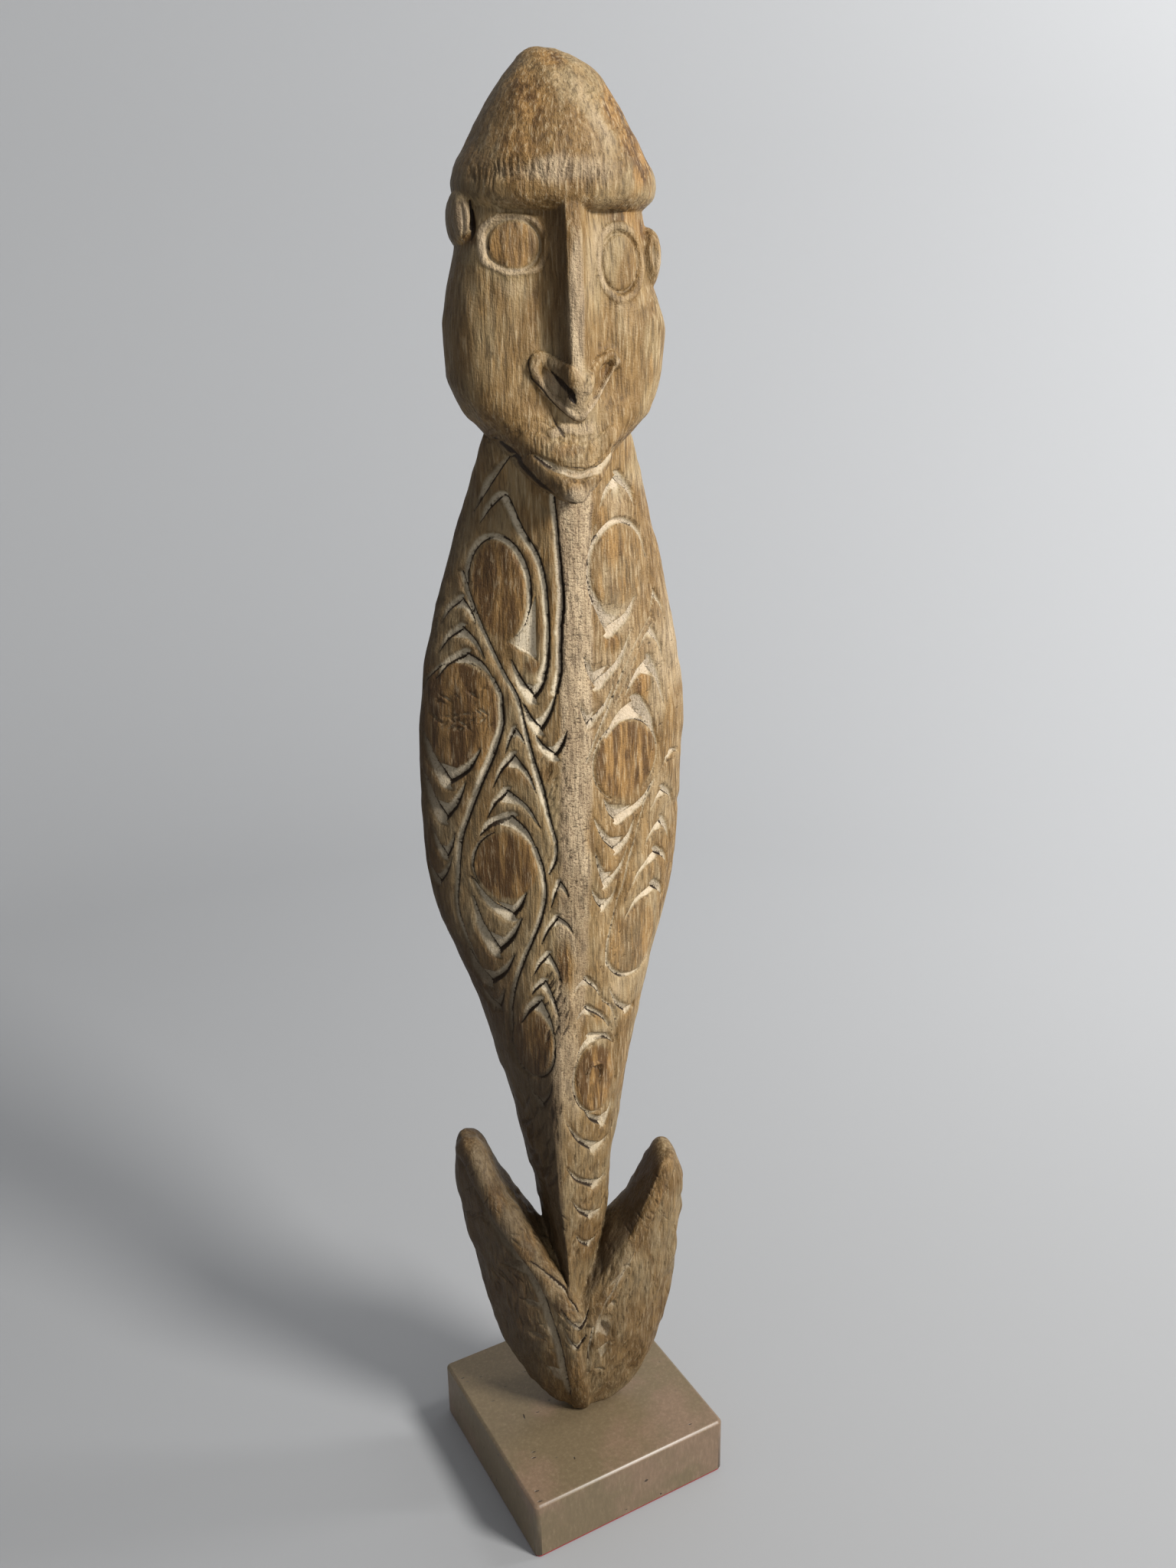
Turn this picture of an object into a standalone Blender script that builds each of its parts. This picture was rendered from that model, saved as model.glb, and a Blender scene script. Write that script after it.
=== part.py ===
"""Carved wooden hook figure standing on a square stone block with felt underneath.

Sizes are millimetres, and each mesh is scaled to metres when it is made. X runs to the
viewer's right, Y to the back and Z up, and the figure faces -Y. The origin is the middle
of the felt's underside.
"""
import math

import bmesh
import bpy
import numpy as np
from mathutils import Matrix

MM = 0.001

# Driving sizes
STONE_SIDE = 100.0
STONE_BOTTOM = 1.2
STONE_TOP = 29.2
STONE_CHAMFER = 1.7
STONE_CORNER = 2.2
STONE_TURN = math.radians(11.8)
FELT_INSET = 0.5
FELT_THICK = 0.9
REST_GAP = 0.3
FIGURE_TOP = 611.0
CAP_BOTTOM = 560.0
HEAD_TOP = 564.0
CHIN_TIP = 459.5
BODY_TOP = 496.0
TONGUE_TIP = 100.0
ANCHOR_TWIST = math.radians(-12.0)

# Working sizes of the mesh
FORM_GRAIN = 1.1
FIGURE_TRIANGLES = 9000
SPAN_STEPS = 6
CARVING_SHARP = math.radians(50)
BLOCK_SHARP = math.radians(35)

# Knife work: a groove's depth for each millimetre of its half-width, and how far the cut leans
CUT_SLOPE = 0.62
LEAN = 0.45

# Shares of the half-width: a chevron's legs at their middle and end, a chip's ends, a ring's ends and offset
LEG_MIDDLE, LEG_END, LEG_BOW = 0.8, 0.35, 0.10
CHIP_END = 0.3
RING_END, RING_OUT = 0.55, 0.8

# Cuts fade out where the surface turns away from the front: how far it faces forward, from none to full
FACING_NONE, FACING_FULL = 0.05, 0.25

# Cap: height with middle, half-width, reach to the front and reach to the back
CAP = [(611, -3.2, 1, 1, 1), (610.4, -3, 5.5, 4.5, 4), (609, -2.4, 9, 7.5, 6), (607, -1.2, 12.2, 10.5, 8),
       (604, -0.2, 15.6, 14, 10.3), (600, 0, 19, 17, 12.6), (590, 0, 25.6, 22.5, 16),
       (578, 0, 32.8, 26.6, 18.5),
       (571, 0.2, 36.6, 28.4, 20), (567.5, 0, 37.2, 28.8, 20.5), (564.5, 0, 36.6, 28.2, 20),
       (562, -0.2, 35, 26.4, 18.5), (560, -0.4, 33, 23.5, 17)]
BRIM_REACH = 28.8
BRIM_DIP = 2.5
BRIM_DIP_FROM, BRIM_DIP_TO = 600.0, 570.0

# Head: height with left edge, right edge, depth of the face and depth of the back
HEAD = [(564, -33.5, 31.5, 18, 16), (556, -35, 32.6, 19, 17), (545, -37.5, 34.8, 20, 18),
        (534, -40.2, 36.5, 20, 18), (519, -42.2, 41.6, 20, 18), (505, -41.8, 40, 20, 17.5),
        (497, -39.6, 38.2, 20.5, 16), (490, -35, 35, 22, 14), (486, -31, 31, 23, 11),
        (482, -27.5, 26.5, 24.5, 3), (477, -23.5, 20.5, 26, -7), (472, -19.5, 16, 27.5, -12),
        (466, -14.5, 10.5, 29.5, -17), (461.5, -8.5, 4, 30, -20), (459.5, -5, 0.5, 28, -22)]
FACE_FLAT = [(564, 3.4), (490, 3.2), (482, 2.8), (470, 2.6), (459.5, 2.2)]
NOSE_LINE = [(564, -1.6), (530, -1.2), (508, -0.6), (488, -0.5)]
NOSE_RISE = [(566, 8.5), (545, 9.5), (520, 9.5), (503, 9.5), (497, 7.5), (491, 3.5), (485, 0)]
NOSE_FLAT = 2.5
NOSE_REACH_LEFT, NOSE_REACH_RIGHT = 8.0, 13.0
NOSE_FALL = 2.2
NOSE_FADE = 4

# Body and shaft: edges, ridge and back
BODY_LEFT = [(496, -22), (484, -28), (462, -34), (436, -42), (410, -50.5), (385, -55.5), (348, -58.2),
             (316, -57.5), (293, -55), (270, -47.2), (246, -38.8), (222, -33), (196, -26.5), (170, -21.4),
             (143, -15.8), (100, -12)]
BODY_RIGHT = [(496, 22), (484, 28), (462, 36.6), (436, 44.3), (410, 50), (385, 54.2), (368, 56.4), (346, 55),
              (330, 54.6), (326, 53.2), (321, 53.6), (301, 52), (278, 47.6), (256, 40), (233, 33),
              (210, 26.4),
              (186, 22), (161, 17.6), (135, 14.5), (115, 9), (100, 3)]
BODY_EDGE = [(496, 0), (484, 1), (470, 7), (446, 12.5), (285, 13), (200, 6), (100, 5)]
BODY_BACK = [(496, 9), (470, 12), (440, 13), (330, 14), (250, 13), (100, 12)]
RIDGE = [(480, 0, -19), (460, 0, -18.5), (433, -0.5, -18), (400, -1, -18.5), (381, -2.6, -19),
         (343, -2.4, -20),
         (307, 0.5, -20), (282, -1.4, -19), (257, -6.5, -20), (232, -11.4, -20), (215, -13.7, -20),
         (186, -14, -20), (158, -13, -20), (130, -10.6, -20), (100, -9.4, -20)]
RIDGE_ROUND = 0.05
SHAFT_FROM, SHAFT_TO = 290.0, 210.0
SHAFT_RIDGE_ROUND = 0.02

# Arches across the body's front, power and root: left and right of the ridge, on the body and on the shaft
LEFT_ARCH, LEFT_SHAFT_ARCH = (1.15, 1.5), (1.10, 1.6)
RIGHT_ARCH, RIGHT_SHAFT_ARCH = (1.15, 1.5), (2.15, 2.0)
BACK_ARCH = (2.5, 2)
BODY_PITCH = 1.5

# Anchor: share of the run from left tip to right tip, with place in the anchor's own plane
ANCHOR_OUTER = [(0, -46, 178), (0.03, -50, 179), (0.08, -54, 172), (0.16, -54.8, 158), (0.26, -51, 132),
                (0.35, -44.6, 100), (0.41, -37.5, 69), (0.45, -25.5, 45), (0.475, -13, 32), (0.49, -5, 28.6),
                (0.52, 8, 28.6), (0.54, 18, 31), (0.58, 32, 46), (0.62, 40, 68), (0.69, 46, 100),
                (0.76, 48.6, 128), (0.84, 49.8, 146), (0.92, 47.5, 158), (0.97, 44, 165.5), (1, 40.5, 167)]
ANCHOR_INNER = [(0, -45, 177.5), (0.05, -41, 174), (0.16, -35, 160), (0.26, -27, 146), (0.36, -18, 132),
                (0.44, -9, 121), (0.5, -1, 116), (0.58, 7, 121), (0.66, 14, 130), (0.75, 21, 137),
                (0.84, 28.5, 149), (0.95, 36, 164), (1, 40, 167.5)]
ANCHOR_BAND = [(0, -46, 178, -2), (0.04, -46, 176, -9), (0.1, -43, 168, -12.5), (0.26, -31, 140, -17),
               (0.36, -21, 121, -19.5), (0.44, -11, 105, -22), (0.5, -1, 90, -23.5), (0.58, 9, 104, -21.5),
               (0.66, 17, 119, -19), (0.75, 25, 134, -17), (0.9, 37, 160, -12.5), (0.96, 40, 165.5, -9),
               (1, 41, 167, -2)]
ANCHOR_EDGE = [(0, 0), (0.3, 1), (0.42, 0), (0.47, -6), (0.5, -9), (0.53, -6), (0.58, 0), (0.7, 1), (1, 0)]
ANCHOR_BACK = [(0, 2), (0.05, 8), (0.2, 13), (0.5, 16), (0.8, 13), (0.95, 8), (1, 2)]
ANCHOR_INSIDE = 2.0

# Arches across the anchor, power and root: inner slope, outer flank and back
SLOPE_ARCH, FLANK_ARCH, REAR_ARCH = (2.1, 0.8), (1.4, 1.5), (2.2, 2)

# Ears: centre and half-sizes of each lobe
EARS = [((-35.2, -2, 556.3), (4.4, 10, 9.6)), ((32.9, -5, 543.2), (5.3, 9, 10.6))]
LOBE_TILT = math.radians(86)

# Round bosses of the pattern: centre, half-width, half-height, ring from and to (degrees), ring width
EYES = [(-20, 546.5, 8.6, 7.6, 0, 360, 1.5), (18.5, 541, 6.9, 8.8, 0, 360, 1.2),
        (-27, 426, 9.2, 18.5, -60, 205, 1.7), (-42.5, 375.5, 13.5, 21.5, 60, 160, 1.3),
        (-29, 314, 11.4, 14.4, 110, 215, 1.2), (20, 433, 13, 15.5, 20, 200, 1.3),
        (22, 354.5, 15, 16, -60, 240, 1.5), (25.5, 273, 13.5, 15.5, 190, 300, 1.7),
        (-21, 233, 6.8, 15, 150, 380, 1.2), (5, 213.5, 9.6, 16, 95, 290, 1.3)]

# Chevrons: point, end of the left leg, end of the right leg and half-width at the point
CHEVRONS = [
    ((-17, 385), (-24, 399), (-12, 394), 2.8), ((-15, 372), (-20.5, 382), (-8.5, 387), 2.6),
    ((-10, 361.5), (-17, 370), (-5, 371), 2.6), ((-40, 422), (-47.5, 412), (-35.5, 412), 1.9),
    ((-40.5, 411), (-49, 401), (-33.5, 399.5), 2.1), ((-40, 401), (-50.5, 391), (-31, 392), 2.4),
    ((-49, 349), (-56.5, 368), (-37, 363), 3.0), ((-51, 333), (-57.5, 352), (-43, 349), 2.8),
    ((-51, 316), (-55.5, 329), (-47.5, 327), 2.0), ((-54, 303.5), (-57, 312), (-49, 316), 2.0),
    ((-24, 372), (-28, 362), (-20.5, 365), 1.7), ((-25, 361), (-33, 348), (-17, 345), 2.1),
    ((-28, 346), (-35.5, 335), (-16, 331), 2.2), ((-27, 335), (-38.5, 327), (-18, 322), 3.0),
    ((-27.5, 291.5), (-42, 308), (-22, 302), 2.8), ((-33, 274.5), (-42, 299), (-24, 290), 3.0),
    ((-36, 258.5), (-43.5, 273), (-27, 273), 2.8), ((-33, 246.5), (-39.5, 257), (-31, 256), 2.0),
    ((-9, 307), (-12.5, 296), (-5.5, 300), 1.8), ((-10, 291), (-16.5, 279), (-4, 284), 2.0),
    ((-14, 274), (-20, 265), (-9.5, 262), 2.0), ((-16, 262), (-21, 256), (-11, 245), 2.1),
    ((-18, 253), (-25, 242), (-13.5, 238), 2.5), ((-19, 203), (-23.5, 213), (-15, 215), 1.8),
    ((20, 466.5), (11, 455), (30, 453), 2.2), ((15, 408.5), (6, 428), (28, 419.5), 3.0),
    ((9, 388), (3, 400), (26, 407), 2.6), ((4.5, 372.5), (0.5, 383), (18, 390), 2.0),
    ((38.5, 419.5), (36, 410), (46, 402), 1.4), ((36, 405), (30, 398), (44, 388), 1.6),
    ((34, 393), (22, 380), (43, 371), 2.4), ((27, 376.5), (12, 366), (37, 360), 3.4),
    ((18, 330), (11, 340), (37, 342), 2.8), ((17, 317), (6, 333), (27, 329), 2.4),
    ((11, 303), (6, 320), (23, 317), 2.2), ((10, 292.5), (4, 304), (17.5, 302), 2.0),
    ((46.5, 351), (41, 345), (52, 349), 1.8), ((42, 336), (35, 327), (49, 327), 2.0),
    ((41, 322.5), (31, 312), (47, 310), 2.0), ((38, 309), (23, 295), (45, 301), 2.2),
    ((37, 293), (21, 283), (43, 286), 2.6), ((22, 239.5), (12, 255), (26, 242), 2.0),
    ((1, 262), (-5, 256), (9, 250), 1.8), ((1, 248.5), (-4, 243), (14, 233), 1.8),
    ((3, 234), (-4, 225), (15, 227), 2.4), ((8.5, 189), (-0.5, 199), (14.5, 200), 2.6),
    ((4, 177), (-9.5, 196), (14, 182), 2.2), ((4, 158), (-10, 173), (13, 163), 2.2),
    ((2, 142.5), (-8, 156), (11, 147), 2.0), ((1.5, 127), (-6.5, 137), (7.5, 133), 1.8),
    ((-6.5, 89), (-13.5, 100), (-1.5, 97), 1.7), ((-7.5, 77), (-12.5, 88), (-3, 84), 1.6),
]

# Long knife lines: places and half-widths along the run, top to bottom
LINES = [
    [(-21, 476, 1.0), (-27, 467, 1.8), (-33, 455, 0.8)],
    [(-31.5, 451, 0.8), (-28, 457, 1.6), (-23.5, 461, 2.0), (-18, 448, 1.9), (-13, 438, 1.8), (-11, 427, 1.8),
     (-10.6, 412, 1.8), (-11.2, 400, 1.9), (-13, 392, 2.4)],
    [(-7.5, 461, 1.6), (-6.4, 448, 1.6), (-5.6, 434, 1.9), (-5, 422, 2.1), (-6.2, 410, 2.1), (-6.6, 396, 1.9),
     (-8.5, 387, 2.2)],
    [(-38.7, 432, 1.2), (-36.5, 421, 1.4), (-31, 404, 1.4), (-26.5, 393, 1.4), (-22.5, 384, 1.5),
     (-20.5, 373, 1.5), (-18, 360, 1.7), (-15, 348, 2.1), (-12.8, 336, 1.5), (-10, 323, 1.4),
     (-10.5, 317, 1.6),
     (-13, 311, 1.0)],
    [(-31, 392, 1.4), (-28.4, 384, 1.6), (-28.4, 376, 1.8), (-31.5, 364, 2.0), (-37, 350, 2.0),
     (-42, 336, 1.8),
     (-45.8, 322, 1.7), (-46.8, 308, 1.5), (-47.8, 296, 1.3), (-45.5, 283, 1.3), (-41.5, 270, 1.2),
     (-37, 258, 1.0), (-34, 244, 0.9)],
    [(-18, 322, 1.7), (-15.3, 312, 1.6), (-14.6, 302, 1.5), (-16.5, 291, 1.6), (-19.8, 281, 1.6),
     (-23.5, 271, 1.6), (-27, 259, 1.5), (-28.6, 247, 1.3), (-28.6, 236, 1.1)],
    [(9, 449, 0.9), (6.8, 439, 1.2), (5.2, 431, 1.4), (7.5, 420, 1.6)],
    [(31, 444, 0.9), (35, 434, 0.9), (35.6, 424, 0.8)],
    [(36, 410, 1.0), (28, 401, 1.0), (21.5, 391, 1.1), (14, 378, 1.2), (7, 365.5, 1.2), (3, 357, 1.2)],
    [(38, 408, 0.8), (30.5, 399, 0.8), (24, 389, 0.9), (17, 377.5, 0.9)],
    [(37, 342, 1.0), (31, 331, 1.0), (25, 316, 1.1), (19.5, 300, 1.1), (15, 287, 1.1), (11.4, 274, 1.2),
     (11, 266, 1.5)],
    [(9, 250, 1.0), (13, 245.5, 1.0), (16, 236, 1.0), (16.2, 224, 0.9), (15.6, 208, 0.8)],
    [(-46, 156, 0.8), (-40.5, 141, 1.2), (-34.5, 129.5, 1.5), (-27.5, 117, 1.5), (-21, 103, 1.6),
     (-17, 90, 1.6), (-13.4, 74, 1.5), (-10.6, 58, 1.5), (-8, 42, 1.2)],
    [(-26, 124, 0.8), (-18.5, 115, 1.0), (-12.5, 107.5, 1.2), (-7, 97, 1.0)],
    [(37, 150, 0.8), (29.5, 137, 1.0), (20.5, 122, 1.1), (12.5, 110, 1.2), (5.5, 98, 1.2), (0.5, 86, 1.3),
     (-1.5, 72, 1.2), (-2, 58, 0.8)],
    [(-15, 476.8, 1.4), (-8, 472.2, 2.8), (0.5, 470.8, 3.4), (9, 473.4, 3.0), (17.5, 479.4, 1.2)],
    [(-14, 500, 0.7), (-9, 493.5, 1.1), (-5.5, 485, 1.5), (-1, 482.5, 1.2)],
    [(-23, 490.5, 0.6), (-14, 489.5, 1.0), (-8, 486, 1.2)],
]

# Knife chips: two ends and half-width at the middle
CHIPS = [((-36, 118), (-28, 121), 3.0), ((-45, 143), (-41.5, 140), 1.6), ((-29, 99), (-23, 96), 2.0),
         ((-27, 81), (-20, 77), 1.8), ((-18, 59), (-12.5, 51), 2.2), ((5, 88), (8, 77), 3.2),
         ((2, 70.5), (11, 74), 1.6), ((1, 60), (7, 57), 1.5), ((9.5, 99), (11.5, 94), 1.8),
         ((16, 118), (19, 114), 1.7), ((-23, 404), (-17, 413), 3.6), ((-32.4, 560), (-33, 550), 2.0),
         ((32.5, 550), (33, 543), 1.8), ((-26, 207), (-24, 196), 1.4), ((14, 461), (22, 459), 2.2)]

# Raised rolls: places along the run, half-width and height
ROLLS = [([(-1, 490), (-7.5, 495.5), (-12.5, 501), (-14.4, 506), (-12.4, 510.2), (-8.5, 508.5), (-3, 503)],
          2.3, 3.2),
         ([(2, 490), (8, 495.5), (13, 501.5), (16.3, 507), (14.5, 509.8), (9.5, 507.5), (4, 503)], 2.2, 2.6),
         ([(-17, 482), (-8, 477.5), (0, 476.2), (8.5, 478.6), (14, 483)], 4.0, 1.6),
         ([(-16, 473.5), (-8.5, 466), (-1, 463.2), (6, 466.5), (12.5, 474)], 3.6, 1.5)]


def track(stations):
    """Smooth curve through (place, value) stations, level beyond its ends."""
    place, value = (np.array(column, float) for column in zip(*sorted(stations)))
    gap = np.diff(place)
    slope = np.diff(value) / gap
    before, after = slope[:-1], slope[1:]
    same = before * after > 0
    tangent = np.zeros_like(value)
    tangent[1:-1][same] = (2 * before * after / np.where(same, before + after, 1))[same]
    tangent[0], tangent[-1] = slope[0], slope[-1]

    def at(where):
        where = np.clip(where, place[0], place[-1])
        i = np.clip(np.searchsorted(place, where, side="right") - 1, 0, len(gap) - 1)
        t = (where - place[i]) / gap[i]
        start = (2 * t**3 - 3 * t**2 + 1) * value[i] + (t**3 - 2 * t**2 + t) * gap[i] * tangent[i]
        end = (3 * t**2 - 2 * t**3) * value[i + 1] + (t**3 - t**2) * gap[i] * tangent[i + 1]
        return start + end
    return at


def tracks(rows):
    """One curve for each column after the first."""
    return [track([(row[0], row[k]) for row in rows]) for k in range(1, len(rows[0]))]


def swell(share, power, root):
    """Arch from one at share 0 to nothing at share 1 or -1."""
    return np.clip(1 - np.abs(share) ** power, 0, 1) ** (1 / root)


def steps(first, last, pitch):
    """Even places from first to last, about a pitch apart."""
    return np.linspace(first, last, int(round(abs(last - first) / pitch)) + 1)


def cap_rings(count=180):
    """Rings of the pointed cap, its front edge dipping a little."""
    middle_at, half_at, front_at, back_at = tracks(CAP)
    turn = np.linspace(0, 2 * math.pi, count, endpoint=False)
    rings = []
    for z in steps(FIGURE_TOP, CAP_BOTTOM, 1.0):
        half, front, back = half_at(z), front_at(z), back_at(z)
        y = -np.sin(turn) * np.where(np.sin(turn) > 0, front, back)
        lowered = np.clip((BRIM_DIP_FROM - z) / (BRIM_DIP_FROM - BRIM_DIP_TO), 0, 1)
        dip = BRIM_DIP * np.clip(-y / BRIM_REACH, 0, 1) * lowered
        rings.append(np.stack([middle_at(z) - half * np.cos(turn), y, z - dip], 1))
    return rings


def board_ring(z, left, right, front_y, edge_y, back, count):
    """Ring at one height: the front from left to right, then the back from right to left."""
    share = -np.cos(np.linspace(0, math.pi, count))
    middle, half = (left + right) / 2, (right - left) / 2
    x, y = front_y(share)
    rear = share[::-1][1:-1]
    rear_y = edge_y + back * swell(rear, *BACK_ARCH)
    x = np.r_[x, middle + half * rear]
    return np.stack([x, np.r_[y, rear_y], np.full(len(x), z)], 1)


def head_rings(count=140):
    """Rings of the head with the nose ridge, from under the cap to the tip of the beard."""
    left_at, right_at, face_at, back_at = tracks(HEAD)
    flat_at, nose_at, rise_at = track(FACE_FLAT), track(NOSE_LINE), track(NOSE_RISE)
    rings = []
    for z in steps(HEAD_TOP, CHIN_TIP, 1.0):
        left, right = left_at(z), right_at(z)

        def front(share):
            x = (left + right) / 2 + (right - left) / 2 * share
            reach = np.where(x < nose_at(z), NOSE_REACH_LEFT, NOSE_REACH_RIGHT)
            off = np.clip(np.abs(x - nose_at(z)) - NOSE_FLAT, 0, reach)
            nose = rise_at(z) * (1 - off / reach) ** NOSE_FALL
            return x, -face_at(z) * swell(share, flat_at(z), 2) - nose * swell(share, NOSE_FADE, 1)
        rings.append(board_ring(z, left, right, front, 0, back_at(z), count))
    return rings


def body_rings(count=110):
    """Rings of the ridged body and of the shaft that it narrows to."""
    left_at, right_at = track(BODY_LEFT), track(BODY_RIGHT)
    edge_at, back_at = track(BODY_EDGE), track(BODY_BACK)
    ridge_x_at, ridge_y_at = tracks(RIDGE)
    rings = []
    for z in steps(BODY_TOP, TONGUE_TIP, BODY_PITCH):
        left, right, edge = left_at(z), right_at(z), edge_at(z)
        ridge_x, ridge_y = ridge_x_at(z), ridge_y_at(z)
        shaft = np.clip((SHAFT_FROM - z) / (SHAFT_FROM - SHAFT_TO), 0, 1)

        def front(share):
            x = ridge_x + share * np.where(share < 0, ridge_x - left, right - ridge_x)
            blunt = RIDGE_ROUND + (SHAFT_RIDGE_ROUND - RIDGE_ROUND) * shaft
            away = (np.sqrt(share**2 + blunt**2) - blunt) / (math.hypot(1, blunt) - blunt)
            power, root = (np.where(share < 0, left_body + (left_shaft - left_body) * shaft,
                                    right_body + (right_shaft - right_body) * shaft)
                           for left_body, left_shaft, right_body, right_shaft
                           in zip(LEFT_ARCH, LEFT_SHAFT_ARCH, RIGHT_ARCH, RIGHT_SHAFT_ARCH))
            return x, edge + (ridge_y - edge) * swell(away, power, root)
        rings.append(board_ring(z, left, right, front, edge, back_at(z), count))
    return rings


def anchor_rings(count=120, across=60):
    """Rings across the two-horned anchor, from the left tip round the foot to the right tip."""
    outer_x, outer_z = tracks(ANCHOR_OUTER)
    inner_x, inner_z = tracks(ANCHOR_INNER)
    band_x, band_z, band_y = tracks(ANCHOR_BAND)
    edge_at, back_at = track(ANCHOR_EDGE), track(ANCHOR_BACK)
    third = np.linspace(0, 1, across // 3, endpoint=False)
    round_back = (1 - np.cos(np.linspace(0, math.pi, across, endpoint=False))) / 2
    turn_cos, turn_sin = math.cos(ANCHOR_TWIST), math.sin(ANCHOR_TWIST)
    rings = []
    for t in np.linspace(0, 1, count):
        inner = np.array([inner_x(t), inner_z(t)])
        outer = np.array([outer_x(t), outer_z(t)])
        band = np.array([band_x(t), band_z(t)])
        front, edge = band_y(t), edge_at(t)
        slope = inner + (band - inner) * third[:, None]
        flank = band + (outer - band) * third[:, None]
        rear = outer + (inner - outer) * round_back[:, None]
        x, z = np.concatenate([slope, flank, rear]).T
        slope_y = (1 - (1 - third) ** SLOPE_ARCH[0]) ** SLOPE_ARCH[1]
        rear_y = swell(2 * round_back - 1, *REAR_ARCH)
        y = np.r_[ANCHOR_INSIDE + (front - ANCHOR_INSIDE) * slope_y,
                  edge + (front - edge) * swell(third, *FLANK_ARCH),
                  edge + (ANCHOR_INSIDE - edge) * round_back + back_at(t) * rear_y]
        rings.append(np.stack([turn_cos * x - turn_sin * y, turn_sin * x + turn_cos * y, z], 1))
    return rings


def lobe_rings(centre, half, count=24):
    """Rings of one rounded ear lobe."""
    turn = np.linspace(0, 2 * math.pi, 2 * count, endpoint=False)
    rings = []
    for tilt in np.linspace(LOBE_TILT, -LOBE_TILT, count):
        wide = math.cos(tilt)
        rings.append(np.stack([centre[0] - half[0] * wide * np.cos(turn),
                               centre[1] - half[1] * wide * np.sin(turn),
                               np.full(2 * count, centre[2] + half[2] * math.sin(tilt))], 1))
    return rings


def fused_form(shells, grain):
    """One closed mesh around overlapping stacks of rings, with faces about a grain wide."""
    verts, faces, start = [], [], 0
    for rings in shells:
        count = len(rings[0])
        for row in range(len(rings) - 1):
            low = start + row * count
            faces += [(low + i, low + (i + 1) % count, low + count + (i + 1) % count, low + count + i)
                      for i in range(count)]
        faces.append(tuple(range(start, start + count))[::-1])
        start += count * len(rings)
        faces.append(tuple(range(start - count, start)))
        verts.append(np.concatenate(rings))
    mesh = bpy.data.meshes.new("form")
    mesh.from_pydata((np.concatenate(verts) * MM).tolist(), [], faces)
    obj = bpy.data.objects.new("form", mesh)
    bpy.context.collection.objects.link(obj)
    fuse = obj.modifiers.new("fuse", "REMESH")
    fuse.mode = "VOXEL"
    fuse.voxel_size = grain * MM
    return applied(obj)


def applied(obj):
    """The object's mesh with its modifiers applied; the object itself is removed."""
    graph = bpy.context.evaluated_depsgraph_get()
    mesh = bpy.data.meshes.new_from_object(obj.evaluated_get(graph))
    bpy.data.objects.remove(obj)
    return mesh


def bent(points):
    """Finer points on a smooth curve through the given ones."""
    rows = [(i, *point) for i, point in enumerate(points)]
    fine = np.linspace(0, len(points) - 1, SPAN_STEPS * (len(points) - 1) + 1)
    return np.stack([column(fine) for column in tracks(rows)], 1)


def chevron_cuts(point, left, right, width):
    """Two bowed legs that meet in a point, deepest there, with the steep wall outside."""
    cuts = []
    for end, lean in ((left, -LEAN), (right, LEAN)):
        middle = ((point[0] + end[0]) / 2, (point[1] + end[1]) / 2)
        bow = LEG_BOW * abs(end[0] - point[0])
        side = 1 if end[0] > point[0] else -1
        lift = -1 if end[1] > point[1] else 1
        leg = [(*point, width), (middle[0] + side * bow, middle[1] + lift * bow, LEG_MIDDLE * width),
               (*end, LEG_END * width)]
        cuts.append((bent(leg), lean * lift))
    return cuts


def ring_cut(x, z, half_x, half_z, start, stop, width):
    """Groove round a boss, its steep wall against the boss."""
    turn = np.radians(np.linspace(start, stop, 8 + int(abs(stop - start) / 12)))
    out = RING_OUT * width
    arch = np.sin(np.linspace(0, math.pi, len(turn)))
    taper = width * (1 if stop - start >= 360 else RING_END + (1 - RING_END) * arch)
    places = (x + (half_x + out) * np.cos(turn), z + (half_z + out) * np.sin(turn), turn * 0 + taper)
    return np.stack(places, 1), -LEAN


def chip_cut(start, end, width):
    """Short leaf-shaped chip."""
    middle = [(a + b) / 2 for a, b in zip(start, end)]
    return bent([(*start, CHIP_END * width), (*middle, width), (*end, CHIP_END * width)]), 0.0


def all_cuts():
    """Every groove of the carving as a run of (x, z, half-width) and a lean."""
    cuts = [ring_cut(*eye) for eye in EYES]
    for chevron in CHEVRONS:
        cuts += chevron_cuts(*chevron)
    cuts += [(bent(line), LEAN) for line in LINES]
    cuts += [chip_cut(*chip) for chip in CHIPS]
    return cuts


def cut_depth(x, z, run, lean):
    """Depth of one groove at each place of the front view, in half-widths times its half-width."""
    depth = np.zeros_like(x)
    for a, b in zip(run[:-1], run[1:]):
        step = b - a
        length = step[0] ** 2 + step[1] ** 2
        along = np.clip(((x - a[0]) * step[0] + (z - a[1]) * step[1]) / max(length, 1e-9), 0, 1)
        off_x, off_z = x - a[0] - along * step[0], z - a[1] - along * step[1]
        width = a[2] + along * step[2]
        reach = width * np.where(step[0] * off_z - step[1] * off_x > 0, 1 + lean, 1 - lean)
        depth = np.maximum(depth, width * np.clip(1 - np.hypot(off_x, off_z) / reach, 0, 1))
    return depth


def near(x, z, run, margin):
    """Which places lie in a run's own rectangle."""
    low, high = run[:, :2].min(0) - margin, run[:, :2].max(0) + margin
    return (x > low[0]) & (x < high[0]) & (z > low[1]) & (z < high[1])


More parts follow.
